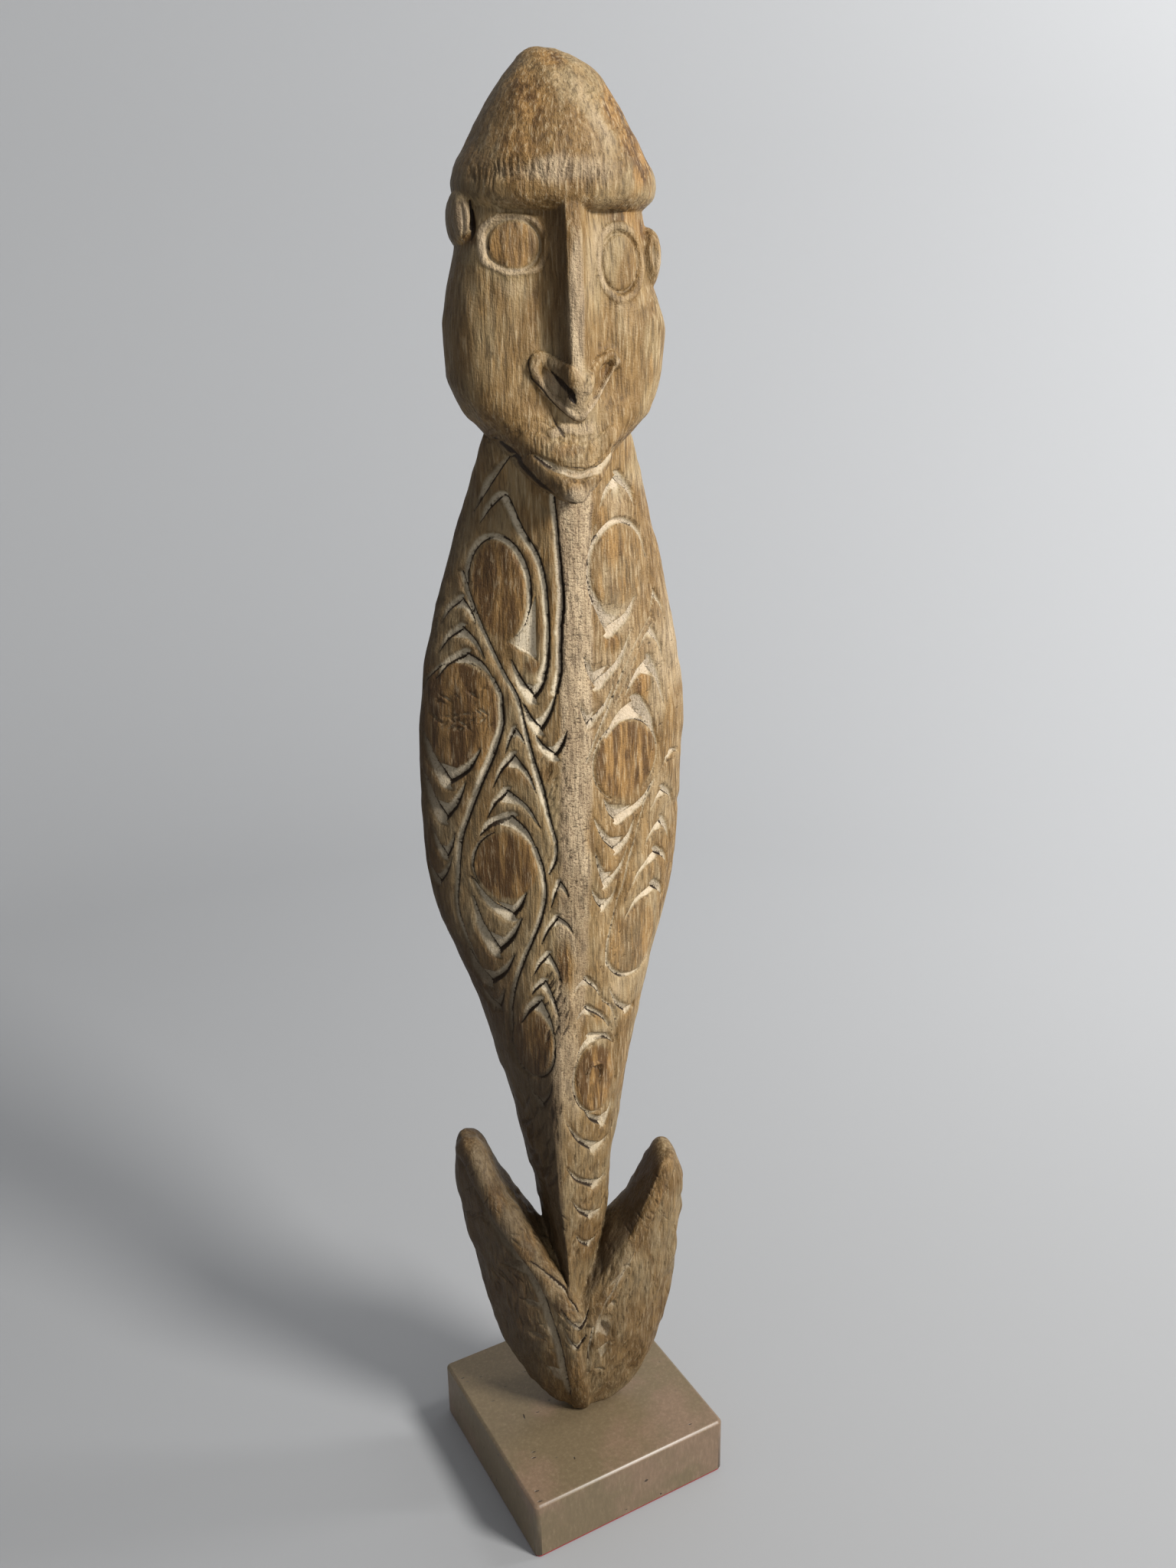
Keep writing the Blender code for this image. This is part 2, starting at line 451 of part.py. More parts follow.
def carving(x, z):
    """Depth of the knife work at places of the front view, rolls counting as negative depth."""
    depth, raised = np.zeros_like(x), np.zeros_like(x)
    for run, lean in all_cuts():
        spot = near(x, z, run, 2 * run[:, 2].max())
        depth[spot] = np.maximum(depth[spot], cut_depth(x[spot], z[spot], run, lean))
    for points, width, height in ROLLS:
        run = bent([(*point, 1.0) for point in points])
        run[:, 2] = width
        spot = near(x, z, run, width)
        off = 1 - cut_depth(x[spot], z[spot], run, 0.0) / width
        raised[spot] = np.maximum(raised[spot], height * np.sqrt(np.clip(1 - off**2, 0, 1)))
    return CUT_SLOPE * depth - raised


def vertex_values(mesh, name):
    """Places or normals of a mesh, one row for each vertex."""
    values = np.empty(len(mesh.vertices) * 3)
    mesh.vertices.foreach_get(name, values)
    return values.reshape(-1, 3)


def carve(mesh):
    """Sink the knife work into the front of the form and flatten the foot for the stone."""
    place = vertex_values(mesh, "co") / MM
    normal = vertex_values(mesh, "normal")
    facing = np.clip((-normal[:, 1] - FACING_NONE) / (FACING_FULL - FACING_NONE), 0, 1)
    depth = carving(place[:, 0], place[:, 2]) * facing
    place -= normal * depth[:, None]
    place[:, 2] = np.maximum(place[:, 2], STONE_TOP + REST_GAP)
    mesh.vertices.foreach_set("co", (place * MM).ravel())
    mesh.update()


def material(name, colour, roughness):
    """Plain material of one colour."""
    made = bpy.data.materials.new(name)
    made.use_nodes = True
    shader = made.node_tree.nodes["Principled BSDF"]
    shader.inputs["Base Color"].default_value = (*colour, 1)
    shader.inputs["Roughness"].default_value = roughness
    shader.inputs["Metallic"].default_value = 0.0
    return made


def placed(name, mesh, finish):
    """New object of a mesh in one material."""
    mesh.materials.clear()
    mesh.materials.append(finish)
    obj = bpy.data.objects.new(name, mesh)
    bpy.context.collection.objects.link(obj)
    return obj


def make_figure():
    """The whole carving as one solid: cap, head, ears, body, shaft and anchor."""
    shells = [cap_rings(), head_rings(), body_rings(), anchor_rings()]
    shells += [lobe_rings(centre, half) for centre, half in EARS]
    mesh = fused_form(shells, FORM_GRAIN)
    carve(mesh)
    obj = placed("carved", mesh, material("wood", (0.33, 0.22, 0.12), 0.6))
    mesh.calc_loop_triangles()
    thin = obj.modifiers.new("thin", "DECIMATE")
    thin.ratio = FIGURE_TRIANGLES / len(mesh.loop_triangles)
    thin.use_collapse_triangulate = True
    finish = mesh.materials[0]
    mesh = applied(obj)
    place = vertex_values(mesh, "co")
    place[:, 2] = np.maximum(place[:, 2], (STONE_TOP + REST_GAP) * MM)
    mesh.vertices.foreach_set("co", place.ravel())
    mesh.shade_smooth()
    mesh.set_sharp_from_angle(angle=CARVING_SHARP)
    return placed("hook_figure", mesh, finish)


def square_block(name, side, bottom, top, corner, chamfer, finish):
    """Square block with rounded upright corners and a chamfer round its top."""
    mesh = bpy.data.meshes.new(name)
    form = bmesh.new()
    bmesh.ops.create_cube(form, size=1)
    scale = Matrix.Diagonal((side * MM, side * MM, (top - bottom) * MM, 1))
    lift = Matrix.Translation((0, 0, (top + bottom) / 2 * MM))
    bmesh.ops.transform(form, matrix=lift @ scale, verts=form.verts)
    upright = [e for e in form.edges if abs(e.verts[0].co.z - e.verts[1].co.z) > MM / 2]
    bmesh.ops.bevel(form, geom=upright, offset=corner * MM, segments=4, profile=0.5, affect="EDGES")
    if chamfer:
        rim = [e for e in form.edges if min(v.co.z for v in e.verts) > top * MM - MM / 100]
        bmesh.ops.bevel(form, geom=rim, offset=chamfer * MM, segments=2, profile=0.6, affect="EDGES")
    form.to_mesh(mesh)
    form.free()
    mesh.shade_smooth()
    mesh.set_sharp_from_angle(angle=BLOCK_SHARP)
    obj = placed(name, mesh, finish)
    obj.rotation_euler.z = STONE_TURN
    return obj


def main():
    """The figure, its stone block and the felt under it."""
    for obj in list(bpy.data.objects):
        bpy.data.objects.remove(obj)
    make_figure()
    square_block("stone_base", STONE_SIDE, STONE_BOTTOM, STONE_TOP, STONE_CORNER, STONE_CHAMFER,
                 material("stone", (0.42, 0.36, 0.27), 0.25))
    square_block("felt_pad", STONE_SIDE - 2 * FELT_INSET, 0, FELT_THICK, STONE_CORNER, 0,
                 material("felt", (0.25, 0.02, 0.03), 0.95))


main()
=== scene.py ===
import math

import bmesh
import bpy
import numpy as np
from mathutils import Matrix, Vector


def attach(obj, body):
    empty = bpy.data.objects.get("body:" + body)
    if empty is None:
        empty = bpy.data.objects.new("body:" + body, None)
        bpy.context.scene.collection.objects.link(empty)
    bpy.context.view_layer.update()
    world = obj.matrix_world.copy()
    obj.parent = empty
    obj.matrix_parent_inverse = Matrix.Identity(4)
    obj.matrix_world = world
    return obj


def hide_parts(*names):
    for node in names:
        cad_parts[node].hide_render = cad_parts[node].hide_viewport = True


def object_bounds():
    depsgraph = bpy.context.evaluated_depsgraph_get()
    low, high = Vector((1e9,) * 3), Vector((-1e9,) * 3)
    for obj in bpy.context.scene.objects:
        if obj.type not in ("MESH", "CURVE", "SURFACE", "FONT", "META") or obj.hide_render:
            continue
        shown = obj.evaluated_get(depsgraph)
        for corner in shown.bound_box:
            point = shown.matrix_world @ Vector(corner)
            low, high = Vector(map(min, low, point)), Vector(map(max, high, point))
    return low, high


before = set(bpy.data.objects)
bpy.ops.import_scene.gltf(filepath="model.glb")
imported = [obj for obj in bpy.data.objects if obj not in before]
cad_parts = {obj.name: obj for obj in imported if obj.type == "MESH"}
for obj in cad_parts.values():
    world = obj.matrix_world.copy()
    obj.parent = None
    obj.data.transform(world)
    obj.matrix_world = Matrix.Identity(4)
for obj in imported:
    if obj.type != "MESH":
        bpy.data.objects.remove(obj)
cad_low, cad_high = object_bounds()

# The carved figure, in millimetres: X to the viewer's right, Y to the back, Z up, and it faces -Y
MM = 0.001
STONE_TOP = 29.2
REST_GAP = 0.3
FIGURE_TOP = 611.0
CAP_BOTTOM = 560.0
HEAD_TOP = 564.0
CHIN_TIP = 459.5
BODY_TOP = 496.0
TONGUE_TIP = 100.0
ANCHOR_TWIST = math.radians(-12.0)

# The stone block: side, underside, upright corners, chamfer round the top, and its edges' rounding and fold
STONE_SIDE = 100.0
STONE_BOTTOM = 1.2
STONE_CORNER = 2.6
STONE_CHAMFER = 1.2
STONE_ROUND = 0.35
STONE_FOLD = 0.6
STONE_TURN = math.radians(11.8)

# Working sizes of the mesh
FORM_GRAIN = 0.5
FIGURE_TRIANGLES = 197000
BACK_TRIANGLES = 32000
SPAN_STEPS = 6

# Knife work: a groove's depth for each millimetre of its half-width, left and right of the ridge
CUT_SLOPE, RIGHT_SLOPE = 0.95, 1.25
RIDGE_SIDE = -5.0

# A cut's lean, how soon a turning run leans fully, the steep wall's share and the floor's roundness
LEAN = 0.45
STEEP_TURN = 1.7
WALL_SHARE = 0.2
FLOOR_ROUND = 0.85

# Painted shade on a steep wall: reach and soft edge in walls, and the depth it needs; on the right flank only
# a thin painted dark line at the rim
WALL_REACH, WALL_SOFT, WALL_DEPTH = 1.5, 0.5, 0.4
RIM_HALF, RIM_LEVEL, RIM_SHARE = 0.7, 1.2, 0.95
SLIT_DEPTH = 0.35

# Shares of the half-width: a chevron's legs, the flat at its point, a ring's ends and offset, a chip's ends
LEG_MIDDLE, LEG_END, LEG_BOW = 0.75, 0.3, 0.10
FACET_POINT, FACET_LEFT, FACET_RIGHT = 0.8, 0.45, 0.25
FACET_LENGTH, FACET_LONGEST = 2.6, 0.42
FACET_EDGE = 9.0
RING_END, RING_OUT = 0.55, 0.8
RING_STEPS, RING_STEP_TURN = 8, 12
CHIP_END = 0.3

# Clay and painted shade in the rings of the eyes, and clay in a chip
EYE_CLAY, EYE_DARK = 0.4, 0.2
CHIP_CLAY = 0.6

# Cuts fade out where the surface turns away from the front: how far it faces forward, from none to full
FACING_NONE, FACING_FULL = 0.05, 0.25

# Cap: height with middle, half-width, reach to the front and reach to the back
CAP = [
    (611, -3.2, 1, 1, 1), (610.4, -3, 5.5, 4.5, 4), (609, -2.4, 9, 7.5, 6), (607, -1.2, 12.2, 10.5, 8),
    (604, -0.2, 15.6, 14, 10.3), (600, 0, 19, 17, 12.6), (590, 0, 25.6, 22.5, 16),
    (578, 0, 32.8, 26.6, 18.5), (571, 0.2, 36.6, 28.4, 20), (567.5, 0, 37.2, 28.8, 20.5),
    (564.5, 0, 36.6, 28.2, 20), (562, -0.2, 35, 26.4, 18.5), (560, -0.4, 33, 23.5, 17),
]
BRIM_REACH = 28.8
BRIM_DIP = 2.5
BRIM_DIP_FROM, BRIM_DIP_TO = 600.0, 570.0

# Head: height with left edge, right edge, depth of the face and depth of the back
HEAD = [
    (564, -33.5, 31.5, 18, 16), (556, -35, 32.6, 19, 17), (545, -37.5, 34.8, 20, 18),
    (534, -40.2, 36.5, 20, 18), (519, -42.2, 41.6, 20, 18), (505, -41.8, 40, 20, 17.5),
    (497, -39.6, 38.2, 20.5, 16), (490, -35, 35, 22, 14), (486, -31, 31, 23, 11),
    (482, -27.5, 26.5, 24.5, 3), (477, -23.5, 20.5, 26, -7), (472, -19.5, 16, 27.5, -12),
    (466, -14.5, 10.5, 29.5, -17), (461.5, -8.5, 4, 30, -20), (459.5, -5, 0.5, 28, -22),
]
FACE_FLAT = [(564, 3.4), (490, 3.2), (482, 2.8), (470, 2.6), (459.5, 2.2)]
NOSE_LINE = [(564, -1.6), (530, -1.2), (508, -0.6), (488, -0.5)]
NOSE_RISE = [(566, 8.5), (545, 9.5), (520, 9.5), (503, 9.5), (497, 7.5), (491, 3.5), (485, 0)]
NOSE_FLAT = 2.5
NOSE_REACH_LEFT, NOSE_REACH_RIGHT = 8.0, 13.0
NOSE_FALL = 2.2
NOSE_FADE = 4

# Body and shaft: edges, ridge and back
BODY_LEFT = [
    (496, -22), (484, -28), (462, -34), (436, -42), (410, -50.5), (385, -55.5), (348, -58.2), (316, -57.5),
    (293, -55), (270, -47.2), (246, -38.8), (222, -33), (196, -26.5), (170, -21.4), (143, -15.8),
    (100, -12),
]
BODY_RIGHT = [
    (496, 22), (484, 28), (462, 36.6), (436, 44.3), (410, 50), (385, 54.2), (368, 56.4), (346, 55),
    (330, 54.6), (326, 53.2), (321, 53.6), (301, 52), (278, 47.6), (256, 40), (233, 33), (210, 26.4),
    (186, 22), (161, 17.6), (135, 14.5), (115, 9), (100, 3),
]
BODY_EDGE = [(496, 0), (484, 1), (470, 7), (446, 12.5), (285, 13), (200, 6), (100, 5)]
BODY_BACK = [(496, 9), (470, 12), (440, 13), (330, 14), (250, 13), (100, 12)]
RIDGE = [
    (480, 0, -19), (460, 0, -18.5), (433, -0.5, -18), (400, -1, -18.5), (381, -2.6, -19), (343, -2.4, -20),
    (307, 0.5, -20), (282, -1.4, -19), (257, -6.5, -20), (232, -11.4, -20), (215, -13.7, -20),
    (186, -14, -20), (158, -13, -20), (130, -10.6, -20), (100, -9.4, -20),
]
RIDGE_ROUND = 0.05
SHAFT_FROM, SHAFT_TO = 290.0, 210.0
SHAFT_RIDGE_ROUND = 0.02

# Arches across the body's front, power and root: left and right of the ridge, on the body and on the shaft
LEFT_ARCH, LEFT_SHAFT_ARCH = (1.15, 1.5), (1.10, 1.6)
RIGHT_ARCH, RIGHT_SHAFT_ARCH = (1.15, 1.5), (2.15, 2.0)
BACK_ARCH = (2.5, 2)
BODY_PITCH = 1.5

# Anchor: share of the run from left tip to right tip, with place in the anchor's own plane
ANCHOR_OUTER = [
    (0, -46, 178), (0.03, -50, 179), (0.08, -54, 172), (0.16, -54.8, 158), (0.26, -51, 132),
    (0.35, -44.6, 100), (0.41, -37.5, 69), (0.45, -25.5, 45), (0.475, -13, 32), (0.49, -5, 28.6),
    (0.52, 8, 28.6), (0.54, 18, 31), (0.58, 32, 46), (0.62, 40, 68), (0.69, 46, 100), (0.76, 48.6, 128),
    (0.84, 49.8, 146), (0.92, 47.5, 158), (0.97, 44, 165.5), (1, 40.5, 167),
]
ANCHOR_INNER = [
    (0, -45, 177.5), (0.05, -41, 174), (0.16, -35, 160), (0.26, -27, 146), (0.36, -18, 132),
    (0.44, -9, 121), (0.5, -1, 116), (0.58, 7, 121), (0.66, 14, 130), (0.75, 21, 137), (0.84, 28.5, 149),
    (0.95, 36, 164), (1, 40, 167.5),
]
ANCHOR_BAND = [
    (0, -46, 178, -2), (0.04, -46, 176, -9), (0.1, -43, 168, -12.5), (0.26, -31, 140, -17),
    (0.36, -21, 121, -19.5), (0.44, -11, 105, -22), (0.5, -1, 90, -23.5), (0.58, 9, 104, -21.5),
    (0.66, 17, 119, -19), (0.75, 25, 134, -17), (0.9, 37, 160, -12.5), (0.96, 40, 165.5, -9),
    (1, 41, 167, -2),
]
ANCHOR_EDGE = [(0, 0), (0.3, 1), (0.42, 0), (0.47, -6), (0.5, -9), (0.53, -6), (0.58, 0), (0.7, 1), (1, 0)]
ANCHOR_BACK = [(0, 2), (0.05, 8), (0.2, 13), (0.5, 16), (0.8, 13), (0.95, 8), (1, 2)]
ANCHOR_INSIDE = 2.0

# Arches across the anchor, power and root: inner slope, outer flank and back
SLOPE_ARCH, FLANK_ARCH, REAR_ARCH = (2.1, 0.8), (1.4, 1.5), (2.2, 2)

# Ears: centre and half-sizes of each lobe
EARS = [((-35.2, -2, 556.3), (4.4, 10, 9.6)), ((32.9, -5, 543.2), (5.3, 9, 10.6))]
LOBE_TILT = math.radians(86)

# Round bosses of the pattern: centre, half-width, half-height, ring from and to (degrees), ring width
EYES = [
    (-20, 547, 8.3, 7.5, 0, 360, 1.2, 0.6), (18.8, 541.3, 6.8, 9, 0, 360, 0.9, 0),
    (-27, 426, 9.2, 18.5, -60, 205, 1.8, 0.75), (-42.5, 375.5, 13.5, 21.5, 60, 160, 1.3, 1),
    (-29, 314, 11.4, 14.4, 110, 215, 1.2, 1), (20, 433, 13, 15.5, 5, 215, 1.8, 0.4),
    (22, 354.5, 15, 16, -60, 240, 1.3, 0.72), (25.5, 273, 13.5, 15.5, 190, 300, 1.5, 0.45),
    (-21, 233, 6.8, 15, 150, 380, 1.2, 0.8), (5, 213.5, 9.6, 16, 95, 290, 1.2, 0.8),
]

# Chevrons: point, end of the left leg, end of the right leg and half-width at the point
CHEVRONS = [
    ((-17, 385), (-24, 399), (-12, 394), 2.8), ((-15, 372), (-20.5, 382), (-8.5, 387), 2.6),
    ((-10, 361.5), (-17, 370), (-5, 371), 2.6), ((-40, 422), (-47.5, 412), (-35.5, 412), 1.9),
    ((-40.5, 411), (-49, 401), (-33.5, 399.5), 2.1), ((-40, 401), (-50.5, 391), (-31, 392), 2.4),
    ((-49, 349), (-56.5, 368), (-37, 363), 3), ((-51, 333), (-57.5, 352), (-43, 349), 2.8),
    ((-51, 316), (-55.5, 329), (-47.5, 327), 2), ((-54, 303.5), (-57, 312), (-49, 316), 2),
    ((-24, 372), (-28, 362), (-20.5, 365), 1.7), ((-25, 361), (-33, 348), (-17, 345), 2.1),
    ((-28, 346), (-35.5, 335), (-16, 331), 2.2), ((-27, 335), (-38.5, 327), (-18, 322), 3),
    ((-27.5, 291.5), (-42, 308), (-22, 302), 2.8), ((-33, 274.5), (-42, 299), (-24, 290), 3),
    ((-36, 258.5), (-43.5, 273), (-27, 273), 2.8), ((-33, 246.5), (-39.5, 257), (-31, 256), 2),
    ((-9, 307), (-12.5, 296), (-5.5, 300), 1.8), ((-10, 291), (-16.5, 279), (-4, 284), 2),
    ((-14, 274), (-20, 265), (-9.5, 262), 2), ((-16, 262), (-21, 256), (-11, 245), 2.1),
    ((-18, 253), (-25, 242), (-13.5, 238), 2.5), ((-19, 203), (-23.5, 213), (-15, 215), 1.8),
    ((20, 466.5), (11, 455), (30, 453), 2.2), ((15, 408.5), (6, 428), (28, 419.5), 3),
    ((9, 388), (3, 400), (26, 407), 2.6), ((4.5, 372.5), (0.5, 383), (18, 390), 2),
    ((38.5, 419.5), (36, 410), (46, 402), 1.4), ((36, 405), (30, 398), (44, 388), 1.6),
    ((34, 393), (22, 380), (43, 371), 2.4), ((27, 376.5), (12, 366), (37, 360), 3.4),
    ((18, 330), (11, 340), (37, 342), 2.8), ((17, 317), (6, 333), (27, 329), 2.4),
    ((11, 303), (6, 320), (23, 317), 2.2), ((10, 292.5), (4, 304), (17.5, 302), 2),
    ((46.5, 351), (41, 345), (52, 349), 1.8), ((42, 336), (35, 327), (49, 327), 2),
    ((41, 322.5), (31, 312), (47, 310), 2), ((38, 309), (23, 295), (45, 301), 2.2),
    ((37, 293), (21, 283), (43, 286), 2.6), ((22, 239.5), (12, 255), (26, 242), 2),
    ((1, 262), (-5, 256), (9, 250), 1.8), ((1, 248.5), (-4, 243), (14, 233), 1.8),
    ((3, 234), (-4, 225), (15, 227), 2.4), ((8.5, 189), (-0.5, 199), (14.5, 200), 2.6),
    ((4, 177), (-9.5, 196), (14, 182), 2.2), ((4, 158), (-10, 173), (13, 163), 2.2),
    ((2, 142.5), (-8, 156), (11, 147), 2), ((1.5, 127), (-6.5, 137), (7.5, 133), 1.8),
    ((-6.5, 89), (-13.5, 100), (-1.5, 97), 1.7), ((-7.5, 77), (-12.5, 88), (-3, 84), 1.6),
]

# Long knife lines: places and half-widths along the run, top to bottom
LINES = [
    [(-21, 476, 1), (-27, 467, 1.8), (-33, 455, 0.8)],
    [(-31.5, 451, 0.8), (-28, 457, 1.6), (-23.5, 461, 2), (-18, 448, 1.9), (-13, 438, 1.8),
     (-11, 427, 1.8), (-10.6, 412, 1.8), (-11.2, 400, 1.9), (-13, 392, 2.4)],
    [(-7.5, 461, 1.6), (-6.4, 448, 1.6), (-5.6, 434, 1.9), (-5, 422, 2.1), (-6.2, 410, 2.1),
     (-6.6, 396, 1.9), (-8.5, 387, 2.2)],
    [(-38.7, 432, 1.2), (-36.5, 421, 1.4), (-31, 404, 1.4), (-26.5, 393, 1.4), (-22.5, 384, 1.5),
     (-20.5, 373, 1.5), (-18, 360, 1.7), (-15, 348, 2.1), (-12.8, 336, 1.5), (-10, 323, 1.4),
     (-10.5, 317, 1.6), (-13, 311, 1)],
    [(-31, 392, 1.4), (-28.4, 384, 1.6), (-28.4, 376, 1.8), (-31.5, 364, 2), (-37, 350, 2),
     (-42, 336, 1.8), (-45.8, 322, 1.7), (-46.8, 308, 1.5), (-47.8, 296, 1.3), (-45.5, 283, 1.3),
     (-41.5, 270, 1.2), (-37, 258, 1), (-34, 244, 0.9)],
    [(-18, 322, 1.7), (-15.3, 312, 1.6), (-14.6, 302, 1.5), (-16.5, 291, 1.6), (-19.8, 281, 1.6),
     (-23.5, 271, 1.6), (-27, 259, 1.5), (-28.6, 247, 1.3), (-28.6, 236, 1.1)],
    [(9, 449, 0.9), (6.8, 439, 1.2), (5.2, 431, 1.4), (7.5, 420, 1.6)],
    [(31, 444, 0.9), (35, 434, 0.9), (35.6, 424, 0.8)],
    [(36, 410, 1), (28, 401, 1), (21.5, 391, 1.1), (14, 378, 1.2), (7, 365.5, 1.2), (3, 357, 1.2)],
    [(38, 408, 0.8), (30.5, 399, 0.8), (24, 389, 0.9), (17, 377.5, 0.9)],
    [(37, 342, 1), (31, 331, 1), (25, 316, 1.1), (19.5, 300, 1.1), (15, 287, 1.1), (11.4, 274, 1.2),
     (11, 266, 1.5)],
    [(9, 250, 1), (13, 245.5, 1), (16, 236, 1), (16.2, 224, 0.9), (15.6, 208, 0.8)],
    [(-47, 161, 0.7), (-42.5, 147, 1.6), (-36.5, 133.5, 2.2), (-28.5, 121, 2.4), (-22, 106, 2.4),
     (-18.5, 92, 2.4), (-14.5, 75, 2.3), (-11.5, 58, 2.2), (-9, 42, 1.6)],
    [(-26, 124, 0.8), (-18.5, 115, 1), (-12.5, 107.5, 1.2), (-7, 97, 1)],
    [(37, 150, 0.8), (29.5, 137, 1), (20.5, 122, 1.1), (12.5, 110, 1.2), (5.5, 98, 1.2), (0.5, 86, 1.3),
     (-1.5, 72, 1.2), (-2, 58, 0.8)],
    [(-15.5, 476.4, 0.9), (-9.5, 472, 1.9), (-1, 469.9, 2.1), (6.5, 471, 2), (12, 475, 1.9),
     (18, 479.6, 0.9)],
]

# Knife chips: two ends and half-width at the middle
CHIPS = [
    ((-36, 118), (-28, 121), 3), ((-45, 143), (-41.5, 140), 1.6), ((-29, 99), (-23, 96), 2),
    ((-27, 81), (-20, 77), 1.8), ((-18, 59), (-12.5, 51), 2.2), ((5, 88), (8, 77), 3.2),
    ((2, 70.5), (11, 74), 1.6), ((1, 60), (7, 57), 1.5), ((9.5, 99), (11.5, 94), 1.8),
    ((16, 118), (19, 114), 1.7), ((33.2, 549), (34, 539), 1.9), ((-36.4, 562), (-35.6, 549.5), 1.9),
    ((-26, 207), (-24, 196), 1.4),
]

# Dark slits, painted shade in hollows where no clay is left: darkness, then places and half-widths
SLITS = [
    (1, [(-32.9, 561.5, 0.4), (-32.3, 557.5, 0.9), (-32.3, 553, 0.9), (-33.2, 549, 0.4)]),
    (0.9, [(-25.5, 554, 0.3), (-28, 551.5, 0.6), (-28.6, 547, 0.8), (-28.1, 542.5, 0.7),
      (-25.5, 539.8, 0.4)]),
    (1, [(-8, 505.5, 0.5), (-5, 501, 1.2), (-2.7, 497, 1), (-1.9, 495, 0.4)]),
    (0.7, [(-15.2, 511, 0.3), (-16.4, 508, 0.5), (-15.7, 504, 0.5), (-11.6, 498.8, 0.5), (-6.3, 493, 0.5),
      (-2, 489.2, 0.4), (1, 487.8, 0.3)]),
    (0.6, [(-8.7, 490.5, 0.3), (-7.5, 487.2, 0.6), (-5.7, 484, 0.9), (-4.6, 482.4, 0.3)]),
    (0.4, [(-22, 489.3, 0.2), (-13, 488.4, 0.4), (-8.5, 485.8, 0.5)]),
    (0.6, [(-8.5, 473.6, 0.3), (-2, 472.1, 0.5), (3, 471.8, 0.5), (9, 474.5, 0.3)]),
    (0.9, [(-27, 482.4, 0.4), (-20.5, 476.3, 0.8), (-14.3, 469, 0.8), (-8.3, 463, 0.8), (-4, 460.2, 0.8),
      (2, 459.2, 0.5)]),
    (0.4, [(3.4, 219.4, 0.3), (6.2, 218.4, 0.7), (7.6, 215.4, 0.7), (6.6, 213, 0.4)]),
    (0.5, [(-3.5, 408.3, 0.3), (0, 408.8, 0.4), (4.5, 407.6, 0.4), (5.2, 403.5, 0.3), (4.2, 399, 0.2)]),
    (0.8, [(-45.5, 152, 0.4), (-40, 139, 0.8), (-32, 125.5, 1), (-24, 109, 1), (-19.6, 93, 1),
      (-15.6, 76, 1), (-12.6, 59, 0.9), (-10, 44, 0.6)]),
    (0.6, [(36, 149, 0.3), (28.5, 136, 0.5), (19.5, 121, 0.6), (11.5, 109, 0.6), (4.8, 97, 0.6),
      (0, 86, 0.6), (-2, 73, 0.4)]),
]
